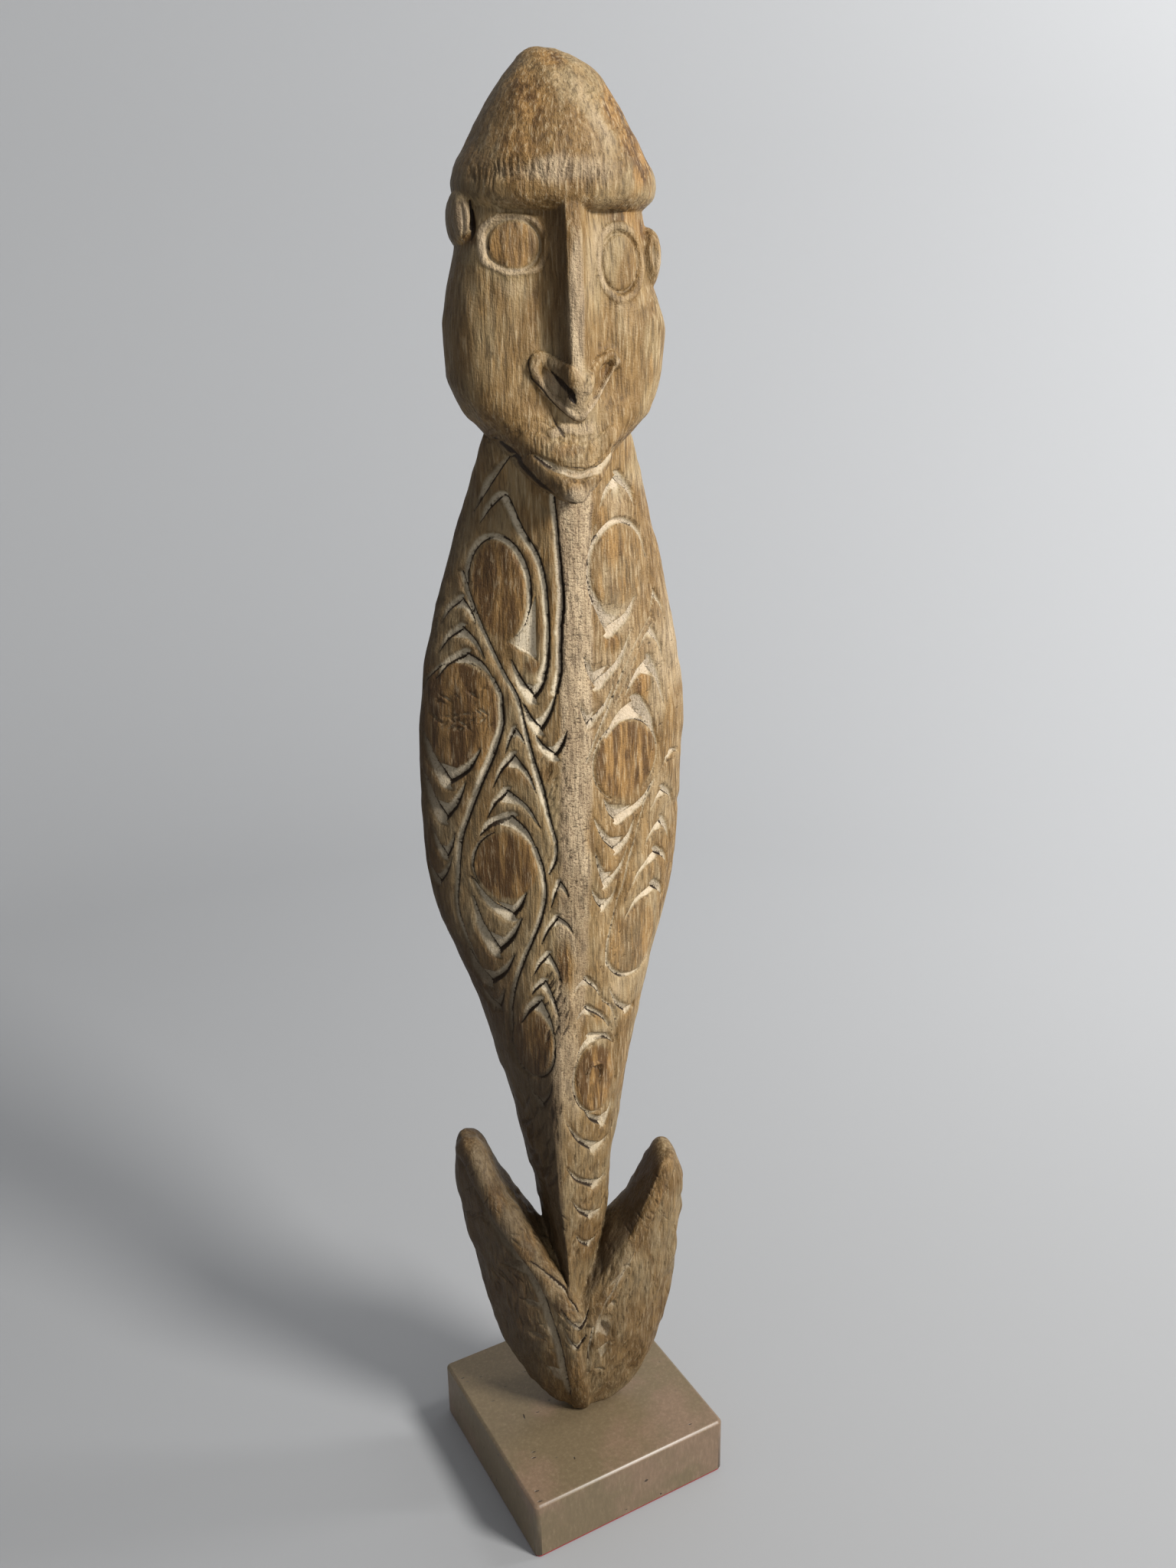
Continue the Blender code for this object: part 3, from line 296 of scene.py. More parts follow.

# Rows of short gouges: first and last x, lowest and highest middle, pitch, length, half-width, turn from
# upright, share of clay and darkness of the painted shade in them
GOUGE_ROWS = [
    (-33, 14, 567, 571, 1, 8, 0.6, 4, 0.2, 0.35), (10, 34, 567, 572, 1.8, 5, 0.4, 8, 0.2, 0.2),
    (-5, 22, 572, 590, 1.2, 3, 0.35, 50, 0.2, 0.2), (6, 17, 590, 596, 1.6, 6, 0.45, 80, 0, 0.12),
    (9, 25, 573, 587, 1.2, 5, 0.4, 75, 0, 0.12), (-4, 6, 574, 582, 1.5, 5, 0.35, 70, 0.2, 0.2),
    (-15, 9, 463.5, 468.5, 0.9, 6, 0.45, -8, 0, 0.35), (-19, 13, 475, 481.5, 0.9, 5, 0.45, 0, 0, 0.35),
    (-13.5, -4, 502, 508.5, 0.8, 3.6, 0.4, 8, 0.2, 0.3), (-3, 8, 490, 505, 0.5, 2.2, 0.4, 60, 0.3, 0.3),
    (-24, -12, 483, 488, 1.5, 4, 0.5, 30, 0.4, 0.1), (-30, -20, 480, 485, 0.9, 2.5, 0.8, 60, 0.5, 0.1),
    (-4, 4, 385, 455, 0.18, 3.2, 0.36, 85, 0.1, 0.55), (-7, 3, 290, 385, 0.16, 2.8, 0.4, 80, 0.1, 0.6),
    (-14, -2, 205, 300, 0.22, 4.5, 0.4, 12, 0.3, 0.5), (-19, -7, 345, 366, 0.4, 4, 0.7, 35, 1, 0.2),
    (-13, -5, 316, 352, 0.2, 4, 0.7, 30, 1, 0.25), (-17, -7, 236, 268, 0.22, 6, 0.5, 20, 0.6, 0.6),
    (-50, -33, 369, 388, 1.3, 4, 0.75, 50, 1, 0), (-52, -34, 370, 386, 1.5, 5, 0.75, -55, 1, 0),
    (-48, -36, 374, 380, 1.6, 4, 0.8, 80, 1, 0), (28, 52, 345, 400, 0.5, 2.6, 0.4, 70, 0, 0.6),
    (6, 34, 398, 462, 0.6, 2.4, 0.35, 75, 0, 0.5), (4, 50, 290, 345, 0.7, 2.6, 0.35, 75, 0, 0.5),
    (18, 30, 383, 400, 0.7, 2.2, 0.4, 40, 0, 0.6), (8, 28, 262, 282, 0.8, 3, 0.4, 60, 0.3, 0.4),
    (-24, -12, 160, 205, 0.35, 9, 0.8, 8, 0.5, 0.5), (-40, -10, 104, 160, 0.5, 6, 0.6, -42, 0.7, 0.4),
    (-8, 12, 110, 195, 0.55, 5, 0.6, 25, 0.6, 0.35), (-50, -38, 140, 174, 0.6, 7, 0.5, 28, 0.3, 0.4),
    (-16, -6, 68, 104, 0.5, 6, 0.7, -45, 0.8, 0.25), (2, 20, 84, 120, 0.5, 6, 0.5, 25, 0.5, 0.4),
    (14, 44, 84, 156, 0.45, 8, 0.4, -6, 0, 0.35), (-42, -22, 70, 130, 0.6, 10, 0.5, -8, 0, 0.3),
    (0, 26, 42, 84, 0.8, 6, 0.5, 30, 0, 0.35), (18, 38, 130, 160, 0.7, 6, 0.5, -32, 0.2, 0.4),
    (-8, 12, 110, 180, 0.5, 6, 0.5, 4, 0.2, 0.4),
]
GOUGE_SEED = 5
GOUGE_SHIFT, GOUGE_TURN = 0.4, 9.0
GOUGE_REACH, GOUGE_WIDTH = (0.3, 0.65), (0.7, 1.3)

# Brown patches: middle, half-sizes and strength
PATCHES = [
    (31, 384, 6, 7, 0.9), (16, 404, 9, 5, 0.6), (4, 326, 4, 14, 0.5), (11, 309, 7, 8, 0.5),
    (37, 312, 9, 6, 0.4), (38, 301, 10, 7, 0.4), (30, 455, 5, 12, 0.4), (12, 452, 5, 7, 0.5),
    (4, 392, 3, 9, 0.4), (45, 360, 5, 18, 0.35), (8, 245, 6, 9, 0.5), (-8, 270, 5, 16, 0.7),
    (20, 425, 13, 7, 0.5), (18, 440, 12, 8, 0.6), (29, 430, 5, 11, 0.45), (-17, 397, 5, 4, 0.7),
    (29, 553, 6, 6, 0.7), (17, 590, 7, 9, 0.85), (23, 580, 7, 10, 0.9), (26, 571, 6, 8, 0.8),
    (-40, 154, 6, 15, 0.5), (-28, 130, 7, 12, 0.5), (-12, 100, 8, 9, 0.55), (-6, 62, 6, 24, 0.4),
    (34, 150, 5, 12, 0.5), (22, 128, 6, 11, 0.5), (8, 102, 6, 9, 0.5), (36, 533, 4, 5, 0.5),
    (-34, 549, 4, 3, 0.6), (8, 222, 7, 8, 0.5), (-3, 606, 7, 5, 0.7), (-13, 592, 8, 15, 0.85),
    (-18, 578, 10, 9, 0.7), (20, 594, 8, 10, 0.9), (30, 578, 8, 12, 0.8), (-30, 573, 7, 9, 0.4),
    (20, 557, 13, 5, 0.6), (-26, 511, 12, 8, 0.35), (-31, 528, 9, 8, 0.3), (31, 505, 7, 9, 0.4),
    (12, 506, 6, 5, 0.6), (-2, 467, 12, 6, 0.5), (-4, 478, 10, 4, 0.5), (26, 476, 5, 8, 0.5),
    (-24, 468, 6, 9, 0.3),
]

# Flat chips: three corners, each with its depth
FACETS = [
    ((-27.5, 406.3, 0.4), (-17, 414.5, 0.9), (-14.8, 398.8, 2.2)),
    ((-22, 408, 0.7), (-14.2, 426, 1.4), (-14.8, 398.8, 2.2)),
    ((8, 421.5, 0.4), (25, 416, 0.4), (14.3, 408.2, 1.6)),
    ((13, 457, 0.3), (27, 455.5, 0.3), (20, 465.5, 1.2)),
    ((19, 376.5, 0.9), (31, 377, 0.9), (25, 370.6, 0.2)), ((31, 377, 0.9), (37, 363, 0.9), (31, 369, 0.2)),
    ((11, 338.5, 0.8), (23, 335.5, 0.4), (17.6, 330.4, 1.3)),
    ((5, 396.5, 0.5), (13, 397.5, 0.3), (8.6, 388.4, 1.1)),
    ((-39, 117.5, 1.6), (-29.5, 125.5, 0.3), (-26.5, 113.5, 0.9)),
    ((-45.5, 146, 1.2), (-43, 138.5, 0.3), (-40, 146, 0.4)),
    ((-31.5, 101, 1.5), (-22, 93, 0.4), (-20, 100, 0.9)), ((-24, 88, 0.9), (-18, 82, 0.3), (-17, 88, 0.7)),
    ((-21, 59.5, 1.6), (-10.5, 48.5, 0.6), (-10.5, 61, 0.9)),
    ((-20, 73, 0.5), (-13, 64, 0.4), (-12.5, 73, 1.3)), ((2, 95, 0.5), (13.5, 89, 0.4), (0.6, 79, 1.6)),
    ((1, 82, 1.2), (13.5, 90, 0.4), (10, 74.5, 0.6)), ((6, 106, 1.2), (20, 124, 0.5), (19, 112, 0.3)),
    ((12, 72, 0.3), (2, 72.5, 0.9), (4.5, 63, 1.1)), ((8.5, 99, 1.2), (12.5, 92.5, 0.2), (5.5, 94, 0.6)),
    ((14.5, 119, 1), (19.6, 112.5, 0.2), (13, 113, 0.5)), ((-27, 82, 1), (-17, 76, 0.2), (-18, 81, 0.5)),
]

# Raised rolls: places along the run, half-width, height and how pale they are rubbed
ROLLS = [
    ([(-1, 490), (-7.5, 495.5), (-12.5, 501), (-14.4, 506)], 1.7, 1.9, 0.6),
    ([(-14.4, 506), (-12.4, 510), (-8.5, 508.3), (-3, 503), (-0.5, 499)], 2.7, 2.1, 0.3),
    ([(1.2, 489.5), (7.5, 496), (13, 502.8), (16.8, 508.6)], 1, 1.7, 0.9),
    ([(16.6, 507.5), (14.2, 510.3), (9.5, 508.5), (4.5, 503.5), (2, 499)], 2.1, 2.1, 0),
    ([(0.5, 491), (-1, 495), (0.5, 499)], 3.4, 1.6, 0.5),
    ([(-17, 482), (-8, 478), (0, 476.8), (8.5, 479), (14, 483)], 3.6, 0.9, 0.2),
    ([(-9, 484), (-4, 485.5), (1, 484.5), (5, 485)], 2.2, 0.9, 0.6),
    ([(-16, 473.5), (-8.5, 466), (-1, 463.2), (6, 466.5), (12.5, 474)], 3.6, 1.4, 0.2),
    ([(-47, 174), (-41.5, 159), (-34.5, 144.5), (-27, 130), (-19, 114.5), (-12, 101),
      (-8, 92)], 5.5, 2.4, 0.3),
    ([(40, 163), (32, 148), (23.5, 133), (14, 115.5), (6, 100), (0, 91)], 3.4, 1.7, 0.3),
    ([(-11, 88), (-9, 72), (-6.5, 56), (-4.5, 42), (-3, 33)], 4.2, 1.9, 0.2),
    ([(-23, 538.2), (-30, 542.5), (-30.4, 550.5), (-23.5, 555.8), (-14, 555.2), (-8.8, 547.5),
      (-12.5, 538.8), (-23, 538.2)], 1.4, 0.6, 0.5),
    ([(13, 532.5), (9.6, 540), (11.4, 549.5), (18, 553.6), (25.6, 550), (28.2, 541), (24.6, 531.5),
      (18, 529), (13, 532.5)], 1.6, 0.7, 0.5),
    ([(1.4, 217.5), (3.4, 220.6), (7.4, 220.4), (9, 216.5), (7.6, 212)], 0.9, 1, 0.5),
]

# Rubbed pale spots: middle, half-sizes and strength
PALE_SPOTS = [
    (-0.8, 528, 4.4, 37, 1.5), (-9, 500.5, 5, 7, 1.3), (-36, 556, 4, 8, 1.2), (36, 541, 3, 7, 0.9),
    (8, 581, 16, 15, 0.6), (9, 500, 4, 5, 0.5), (2, 486, 10, 3, 0.7), (23, 520, 9, 10, 0.5),
    (10, 549, 6, 12, 0.5), (-16, 561, 14, 3.5, 0.5), (-6, 570.5, 32, 8, 1.2), (20, 527, 12, 5, 0.6),
    (-25, 532, 10, 5, 0.5),
]

# Colours of the wood and its clay, and of the painted shade on its left, its foot and its left-facing sides
DARK_WOOD = (0.12, 0.06, 0.019)
RED_WOOD = (0.33, 0.185, 0.063)
BROWN_WOOD = (0.20, 0.115, 0.040)
GOLD_WOOD = (0.40, 0.25, 0.10)
GREY_WOOD = (0.31, 0.225, 0.115)
PINK_WOOD = (0.38, 0.275, 0.165)
RUBBED_WOOD = (0.55, 0.42, 0.265)
PALE_WOOD = (0.62, 0.485, 0.30)
PIT_WOOD = (0.11, 0.06, 0.03)
CLAY = (0.80, 0.68, 0.49)
CLAY_DIM = (0.57, 0.465, 0.335)
CLAY_GREY = (0.43, 0.35, 0.22)
# Dark of the grain's fine lines, also the painted shade on steep walls and in slits
GRAIN_AND_SHADE_DARK = (0.018, 0.010, 0.005)
# Painted shade on the left flank, the shaft's left, left-facing sides and towards the foot
SHADE_WOOD = (0.045, 0.028, 0.016)

# Colours of the stone and the felt
STONE = (0.185, 0.138, 0.079)
STONE_PINK = (0.235, 0.158, 0.102)
STONE_PALE = (0.36, 0.285, 0.19)
STONE_DARK = (0.09, 0.066, 0.038)
STONE_PIT = (0.035, 0.025, 0.016)
FELT, FELT_FUZZ = (0.22, 0.012, 0.02), (0.40, 0.03, 0.045)

# Dark marks in the stone: scale, stretch, size and share of the surface
STONE_MARKS = [
    (150.0, (0.6, 1.9, 1), 0.085, 0.54), (70.0, (1.8, 0.5, 0.3), 0.05, 0.48), (110.0, (1, 0.5, 1), 0.05, 0.5),
]

# Shares by height: clay in the cuts, the ridge's place, its paleness and painted shade, darker towards the
# foot; and painted shade on the left flank
CLAY_SHARE = [
    (60, 0.65), (130, 0.65), (170, 0.62), (230, 0.75), (280, 0.9), (466, 1), (470, 0.55), (600, 0.45),
]
PALE_RIDGE = [(180, -9), (215, -9), (250, -6), (300, -3), (350, -1), (465, 1)]
PALE_SHARE = [
    (150, 0.1), (185, 0.25), (230, 0.55), (300, 0.6), (360, 0.85), (400, 1), (462, 1), (470, 0.3),
    (600, 0.25),
]
SHADE_BY_HEIGHT = [(30, 0.45), (110, 0.36), (150, 0.3), (200, 0.15), (260, 0.05), (480, 0), (600, 0.05)]
LEFT_SHADE = [(30, 0.2), (150, 0.35), (230, 0.4), (300, 0.3), (400, 0.22), (460, 0.1), (470, 0)]

# Painted shade on surfaces that face left and on the shaft's left, the most painted shade, and how fast it
# comes in
SIDE_SHADE, SIDE_FROM, SIDE_SOFT = 0.65, 0.5, 0.4
SHAFT_SHADE, SHAFT_LEFT, SHAFT_EDGE = 0.68, -26.0, -10.0
SHAFT_LOW, SHAFT_HIGH = 118.0, 245.0
LEFT_SHADE_FROM, LEFT_SHADE_SOFT = 4.0, 20.0
SHADE_MOST = 0.85

# Pale wood: half-width and soft edge of the ridge, the right flank's share and start, and a spot's most
RIDGE_HALF, RIDGE_SOFT = 8.5, 3.0
FLANK_PALE, FLANK_FROM, FLANK_SOFT = 0.45, 4.0, 4.0
SPOT_MOST = 0.7
BOSS_SOFT, PATCH_SOFT = 1.5, 1.6

# Depth at which a cut counts as full, and dark specks near the ridge and elsewhere, none on the head
DEEP_FULL = 1.2
SPECK_RIDGE, SPECK_ELSE, SPECK_HALF = 0.6, 0.3, 9.0
SPECK_TOP = CHIN_TIP + 10

# A hand's unevenness: size of the marks and their height; the lumps and facets grow towards the hook
LUMP_SIZE, FACET_SIZE = (7, 7, 12), (3.2, 3.2, 6)
STROKE_SIZE, PIT_SIZE = (1.7, 1.7, 8), (1.2, 1.2, 1.5)
LUMP, FACET, STROKE, PIT = 0.8, 0.5, 0.22, 0.06
HOOK_ROUGH, PALE_ROUGH = 0.6, 0.16
HOOK_FROM, HOOK_SOFT = 200.0, 50.0
LATTICE_STEPS, SEED_STEP, LATTICE_MIX = (374761393, 668265263, 1442695041), 974634777, 1274126177

# Stage, light and camera
FLOOR_FLAT, FLOOR_RISE, FLOOR_TOP = 0.8, 0.8, 1.35
CAMERA_PLACE = (-0.13984, -0.48767, 0.51513)
CAMERA_TURN, CAMERA_DROP, CAMERA_ROLL = math.radians(73.01), math.radians(18.78), math.radians(-0.957)
FOCAL_PIXELS, IMAGE_LONG = 1700.1, 2048.0
SENSOR = 36.0
FLOOR_COLOUR = (0.35, 0.355, 0.362)
LIGHTS = [
    ("key", (0.86, -1.0, 1.16), (0, 0, 0.3), 0.42, 31, (1.0, 0.98, 0.95)),
    ("backdrop", (0.9, -0.1, 1.3), (1.3, 1.2, 0.9), 0.5, 30, (1.0, 1.0, 1.0)),
]
SKY_COLOUR, SKY_LEVEL = (0.96, 0.97, 1.0), 0.44


def track(stations):
    """Smooth curve through (place, value) stations, level beyond its ends."""
    place, value = (np.array(column, float) for column in zip(*sorted(stations)))
    gap = np.diff(place)
    slope = np.diff(value) / gap
    before, after = slope[:-1], slope[1:]
    same = before * after > 0
    tangent = np.zeros_like(value)
    tangent[1:-1][same] = (2 * before * after / np.where(same, before + after, 1))[same]
    tangent[0], tangent[-1] = slope[0], slope[-1]

    def at(where):
        where = np.clip(where, place[0], place[-1])
        i = np.clip(np.searchsorted(place, where, side="right") - 1, 0, len(gap) - 1)
        t = (where - place[i]) / gap[i]
        start = (2 * t**3 - 3 * t**2 + 1) * value[i] + (t**3 - 2 * t**2 + t) * gap[i] * tangent[i]
        end = (3 * t**2 - 2 * t**3) * value[i + 1] + (t**3 - t**2) * gap[i] * tangent[i + 1]
        return start + end
    return at


def tracks(rows):
    """One curve for each column after the first."""
    return [track([(row[0], row[k]) for row in rows]) for k in range(1, len(rows[0]))]


def swell(share, power, root):
    """Arch from one at share 0 to nothing at share 1 or -1."""
    return np.clip(1 - np.abs(share) ** power, 0, 1) ** (1 / root)


def steps(first, last, pitch):
    """Even places from first to last, about a pitch apart."""
    return np.linspace(first, last, int(round(abs(last - first) / pitch)) + 1)


def cap_rings(count=180):
    """Rings of the pointed cap, its front edge dipping a little."""
    middle_at, half_at, front_at, back_at = tracks(CAP)
    turn = np.linspace(0, 2 * math.pi, count, endpoint=False)
    rings = []
    for z in steps(FIGURE_TOP, CAP_BOTTOM, 1.0):
        half, front, back = half_at(z), front_at(z), back_at(z)
        y = -np.sin(turn) * np.where(np.sin(turn) > 0, front, back)
        lowered = np.clip((BRIM_DIP_FROM - z) / (BRIM_DIP_FROM - BRIM_DIP_TO), 0, 1)
        dip = BRIM_DIP * np.clip(-y / BRIM_REACH, 0, 1) * lowered
        rings.append(np.stack([middle_at(z) - half * np.cos(turn), y, z - dip], 1))
    return rings


def board_ring(z, left, right, front_y, edge_y, back, count):
    """Ring at one height: the front from left to right, then the back from right to left."""
    share = -np.cos(np.linspace(0, math.pi, count))
    middle, half = (left + right) / 2, (right - left) / 2
    x, y = front_y(share)
    rear = share[::-1][1:-1]
    rear_y = edge_y + back * swell(rear, *BACK_ARCH)
    x = np.r_[x, middle + half * rear]
    return np.stack([x, np.r_[y, rear_y], np.full(len(x), z)], 1)


def head_rings(count=140):
    """Rings of the head with the nose ridge, from under the cap to the tip of the beard."""
    left_at, right_at, face_at, back_at = tracks(HEAD)
    flat_at, nose_at, rise_at = track(FACE_FLAT), track(NOSE_LINE), track(NOSE_RISE)
    rings = []
    for z in steps(HEAD_TOP, CHIN_TIP, 1.0):
        left, right = left_at(z), right_at(z)

        def front(share):
            x = (left + right) / 2 + (right - left) / 2 * share
            reach = np.where(x < nose_at(z), NOSE_REACH_LEFT, NOSE_REACH_RIGHT)
            off = np.clip(np.abs(x - nose_at(z)) - NOSE_FLAT, 0, reach)
            nose = rise_at(z) * (1 - off / reach) ** NOSE_FALL
            return x, -face_at(z) * swell(share, flat_at(z), 2) - nose * swell(share, NOSE_FADE, 1)
        rings.append(board_ring(z, left, right, front, 0, back_at(z), count))
    return rings


def body_rings(count=110):
    """Rings of the ridged body and of the shaft that it narrows to."""
    left_at, right_at = track(BODY_LEFT), track(BODY_RIGHT)
    edge_at, back_at = track(BODY_EDGE), track(BODY_BACK)
    ridge_x_at, ridge_y_at = tracks(RIDGE)
    rings = []
    for z in steps(BODY_TOP, TONGUE_TIP, BODY_PITCH):
        left, right, edge = left_at(z), right_at(z), edge_at(z)
        ridge_x, ridge_y = ridge_x_at(z), ridge_y_at(z)
        shaft = np.clip((SHAFT_FROM - z) / (SHAFT_FROM - SHAFT_TO), 0, 1)

        def front(share):
            x = ridge_x + share * np.where(share < 0, ridge_x - left, right - ridge_x)
            blunt = RIDGE_ROUND + (SHAFT_RIDGE_ROUND - RIDGE_ROUND) * shaft
            away = (np.sqrt(share**2 + blunt**2) - blunt) / (math.hypot(1, blunt) - blunt)
            power, root = (np.where(share < 0, left_body + (left_shaft - left_body) * shaft,
                                    right_body + (right_shaft - right_body) * shaft)
                           for left_body, left_shaft, right_body, right_shaft
                           in zip(LEFT_ARCH, LEFT_SHAFT_ARCH, RIGHT_ARCH, RIGHT_SHAFT_ARCH))
            return x, edge + (ridge_y - edge) * swell(away, power, root)
        rings.append(board_ring(z, left, right, front, edge, back_at(z), count))
    return rings


def anchor_rings(count=120, across=60):
    """Rings across the two-horned anchor, from the left tip round the foot to the right tip."""
    outer_x, outer_z = tracks(ANCHOR_OUTER)
    inner_x, inner_z = tracks(ANCHOR_INNER)
    band_x, band_z, band_y = tracks(ANCHOR_BAND)
    edge_at, back_at = track(ANCHOR_EDGE), track(ANCHOR_BACK)
    third = np.linspace(0, 1, across // 3, endpoint=False)
    round_back = (1 - np.cos(np.linspace(0, math.pi, across, endpoint=False))) / 2
    turn_cos, turn_sin = math.cos(ANCHOR_TWIST), math.sin(ANCHOR_TWIST)
    rings = []
    for t in np.linspace(0, 1, count):
        inner = np.array([inner_x(t), inner_z(t)])
        outer = np.array([outer_x(t), outer_z(t)])
        band = np.array([band_x(t), band_z(t)])
        front, edge = band_y(t), edge_at(t)
        slope = inner + (band - inner) * third[:, None]
        flank = band + (outer - band) * third[:, None]
        rear = outer + (inner - outer) * round_back[:, None]
        x, z = np.concatenate([slope, flank, rear]).T
        slope_y = (1 - (1 - third) ** SLOPE_ARCH[0]) ** SLOPE_ARCH[1]
        rear_y = swell(2 * round_back - 1, *REAR_ARCH)
        y = np.r_[ANCHOR_INSIDE + (front - ANCHOR_INSIDE) * slope_y,
                  edge + (front - edge) * swell(third, *FLANK_ARCH),
                  edge + (ANCHOR_INSIDE - edge) * round_back + back_at(t) * rear_y]
        rings.append(np.stack([turn_cos * x - turn_sin * y, turn_sin * x + turn_cos * y, z], 1))
    return rings


def lobe_rings(centre, half, count=24):
    """Rings of one rounded ear lobe."""
    turn = np.linspace(0, 2 * math.pi, 2 * count, endpoint=False)
    rings = []
    for tilt in np.linspace(LOBE_TILT, -LOBE_TILT, count):
        wide = math.cos(tilt)
        rings.append(np.stack([centre[0] - half[0] * wide * np.cos(turn),
                               centre[1] - half[1] * wide * np.sin(turn),
                               np.full(2 * count, centre[2] + half[2] * math.sin(tilt))], 1))
    return rings


def fused_form(shells, grain):
    """One closed mesh around overlapping stacks of rings, with faces about a grain wide."""
    verts, faces, start = [], [], 0
    for rings in shells:
        count = len(rings[0])
        for row in range(len(rings) - 1):
            low = start + row * count
            faces += [(low + i, low + (i + 1) % count, low + count + (i + 1) % count, low + count + i)
                      for i in range(count)]
        faces.append(tuple(range(start, start + count))[::-1])
        start += count * len(rings)
        faces.append(tuple(range(start - count, start)))
        verts.append(np.concatenate(rings))
    mesh = bpy.data.meshes.new("form")
    mesh.from_pydata((np.concatenate(verts) * MM).tolist(), [], faces)
    obj = bpy.data.objects.new("form", mesh)
    bpy.context.collection.objects.link(obj)
    fuse = obj.modifiers.new("fuse", "REMESH")
    fuse.mode = "VOXEL"
    fuse.voxel_size = grain * MM
    return applied(obj)


def applied(obj):
    """The object's mesh with its modifiers applied; the object itself is removed."""
    graph = bpy.context.evaluated_depsgraph_get()
    mesh = bpy.data.meshes.new_from_object(obj.evaluated_get(graph))
    bpy.data.objects.remove(obj)
    return mesh


def bent(points):
    """Finer points on a smooth curve through the given ones."""
    rows = [(i, *point) for i, point in enumerate(points)]
    fine = np.linspace(0, len(points) - 1, SPAN_STEPS * (len(points) - 1) + 1)
    return np.stack([column(fine) for column in tracks(rows)], 1)


def flank(x):
    """Which side a groove's steep wall stands on: right of it on the left flank, left of it elsewhere."""
    return 1.0 if x < RIDGE_SIDE else -1.0


def chevron_cuts(point, left, right, width):
    """Two bowed legs that meet in a point, deepest there."""
    cuts = []
    for end in (left, right):
        middle = ((point[0] + end[0]) / 2, (point[1] + end[1]) / 2)
        bow = LEG_BOW * abs(end[0] - point[0])
        side = 1 if end[0] > point[0] else -1
        lift = -1 if end[1] > point[1] else 1
        leg = [(*point, width), (middle[0] + side * bow, middle[1] + lift * bow, LEG_MIDDLE * width),
               (*end, LEG_END * width)]
        cuts.append(bent(leg))
    return cuts


def chevron_facet(point, left, right, width):
    """The flat at a chevron's point, deepest in the point."""
    share = min(FACET_LONGEST, FACET_LENGTH * width / abs(point[1] - (left[1] + right[1]) / 2))
    corners = [(point[0] + share * (end[0] - point[0]), point[1] + share * (end[1] - point[1]), depth * width)
               for end, depth in ((left, FACET_LEFT), (right, FACET_RIGHT))]
    return ((*point, FACET_POINT * width), *corners)


def ring_cut(x, z, half_x, half_z, start, stop, width):
    """Groove round a boss."""
    turn = np.radians(np.linspace(start, stop, RING_STEPS + int(abs(stop - start) / RING_STEP_TURN)))
    out = RING_OUT * width
    arch = np.sin(np.linspace(0, math.pi, len(turn)))
    taper = width * (1 if stop - start >= 360 else RING_END + (1 - RING_END) * arch)
    places = (x + (half_x + out) * np.cos(turn), z + (half_z + out) * np.sin(turn), turn * 0 + taper)
    return np.stack(places, 1)


def leaf_cut(start, end, width):
    """Short leaf-shaped cut."""
    middle = [(a + b) / 2 for a, b in zip(start, end)]
    return bent([(*start, CHIP_END * width), (*middle, width), (*end, CHIP_END * width)])


def short_gouges():
    """Rows of short gouges with a hand's unevenness."""
    rng = np.random.default_rng(GOUGE_SEED)
    cuts = []
    for first, last, low, high, pitch, length, width, turn, clay, dark in GOUGE_ROWS:
        for x in np.arange(first, last, pitch):
            x += rng.uniform(-GOUGE_SHIFT, GOUGE_SHIFT)
            z = rng.uniform(low, high)
            tilt = math.radians(turn + rng.uniform(-GOUGE_TURN, GOUGE_TURN))
            reach = length * rng.uniform(*GOUGE_REACH)
            step = (reach * math.sin(tilt), reach * math.cos(tilt))
            leaf = leaf_cut((x - step[0], z - step[1]), (x + step[0], z + step[1]),
                            width * rng.uniform(*GOUGE_WIDTH))
            cuts.append((leaf, 0.0, clay, dark))
    return cuts


def all_cuts():
    """Every groove as a run of (x, z, half-width), the side of its steep wall, its clay and the darkness of
    its painted shade.
    """
    cuts = []
    for eye in EYES:
        face = eye[1] > CHIN_TIP
        side, clay, dark = (0.0, EYE_CLAY, EYE_DARK) if face else (flank(eye[0]), 1.0, 0.0)
        cuts.append((ring_cut(*eye[:7]), side, clay, dark))
    for chevron in CHEVRONS:
        cuts += [(cut, flank(chevron[0][0]), 1.0, 0.0) for cut in chevron_cuts(*chevron)]
    for line in LINES:
        cuts.append((bent(line), flank(sum(place[0] for place in line) / len(line)), 1.0, 0.0))
    cuts += [(leaf_cut(*chip), 0.0, CHIP_CLAY, 0.0) for chip in CHIPS]
    cuts += [(bent(slit), 0.0, 0.0, dark) for dark, slit in SLITS]
    return cuts + short_gouges()


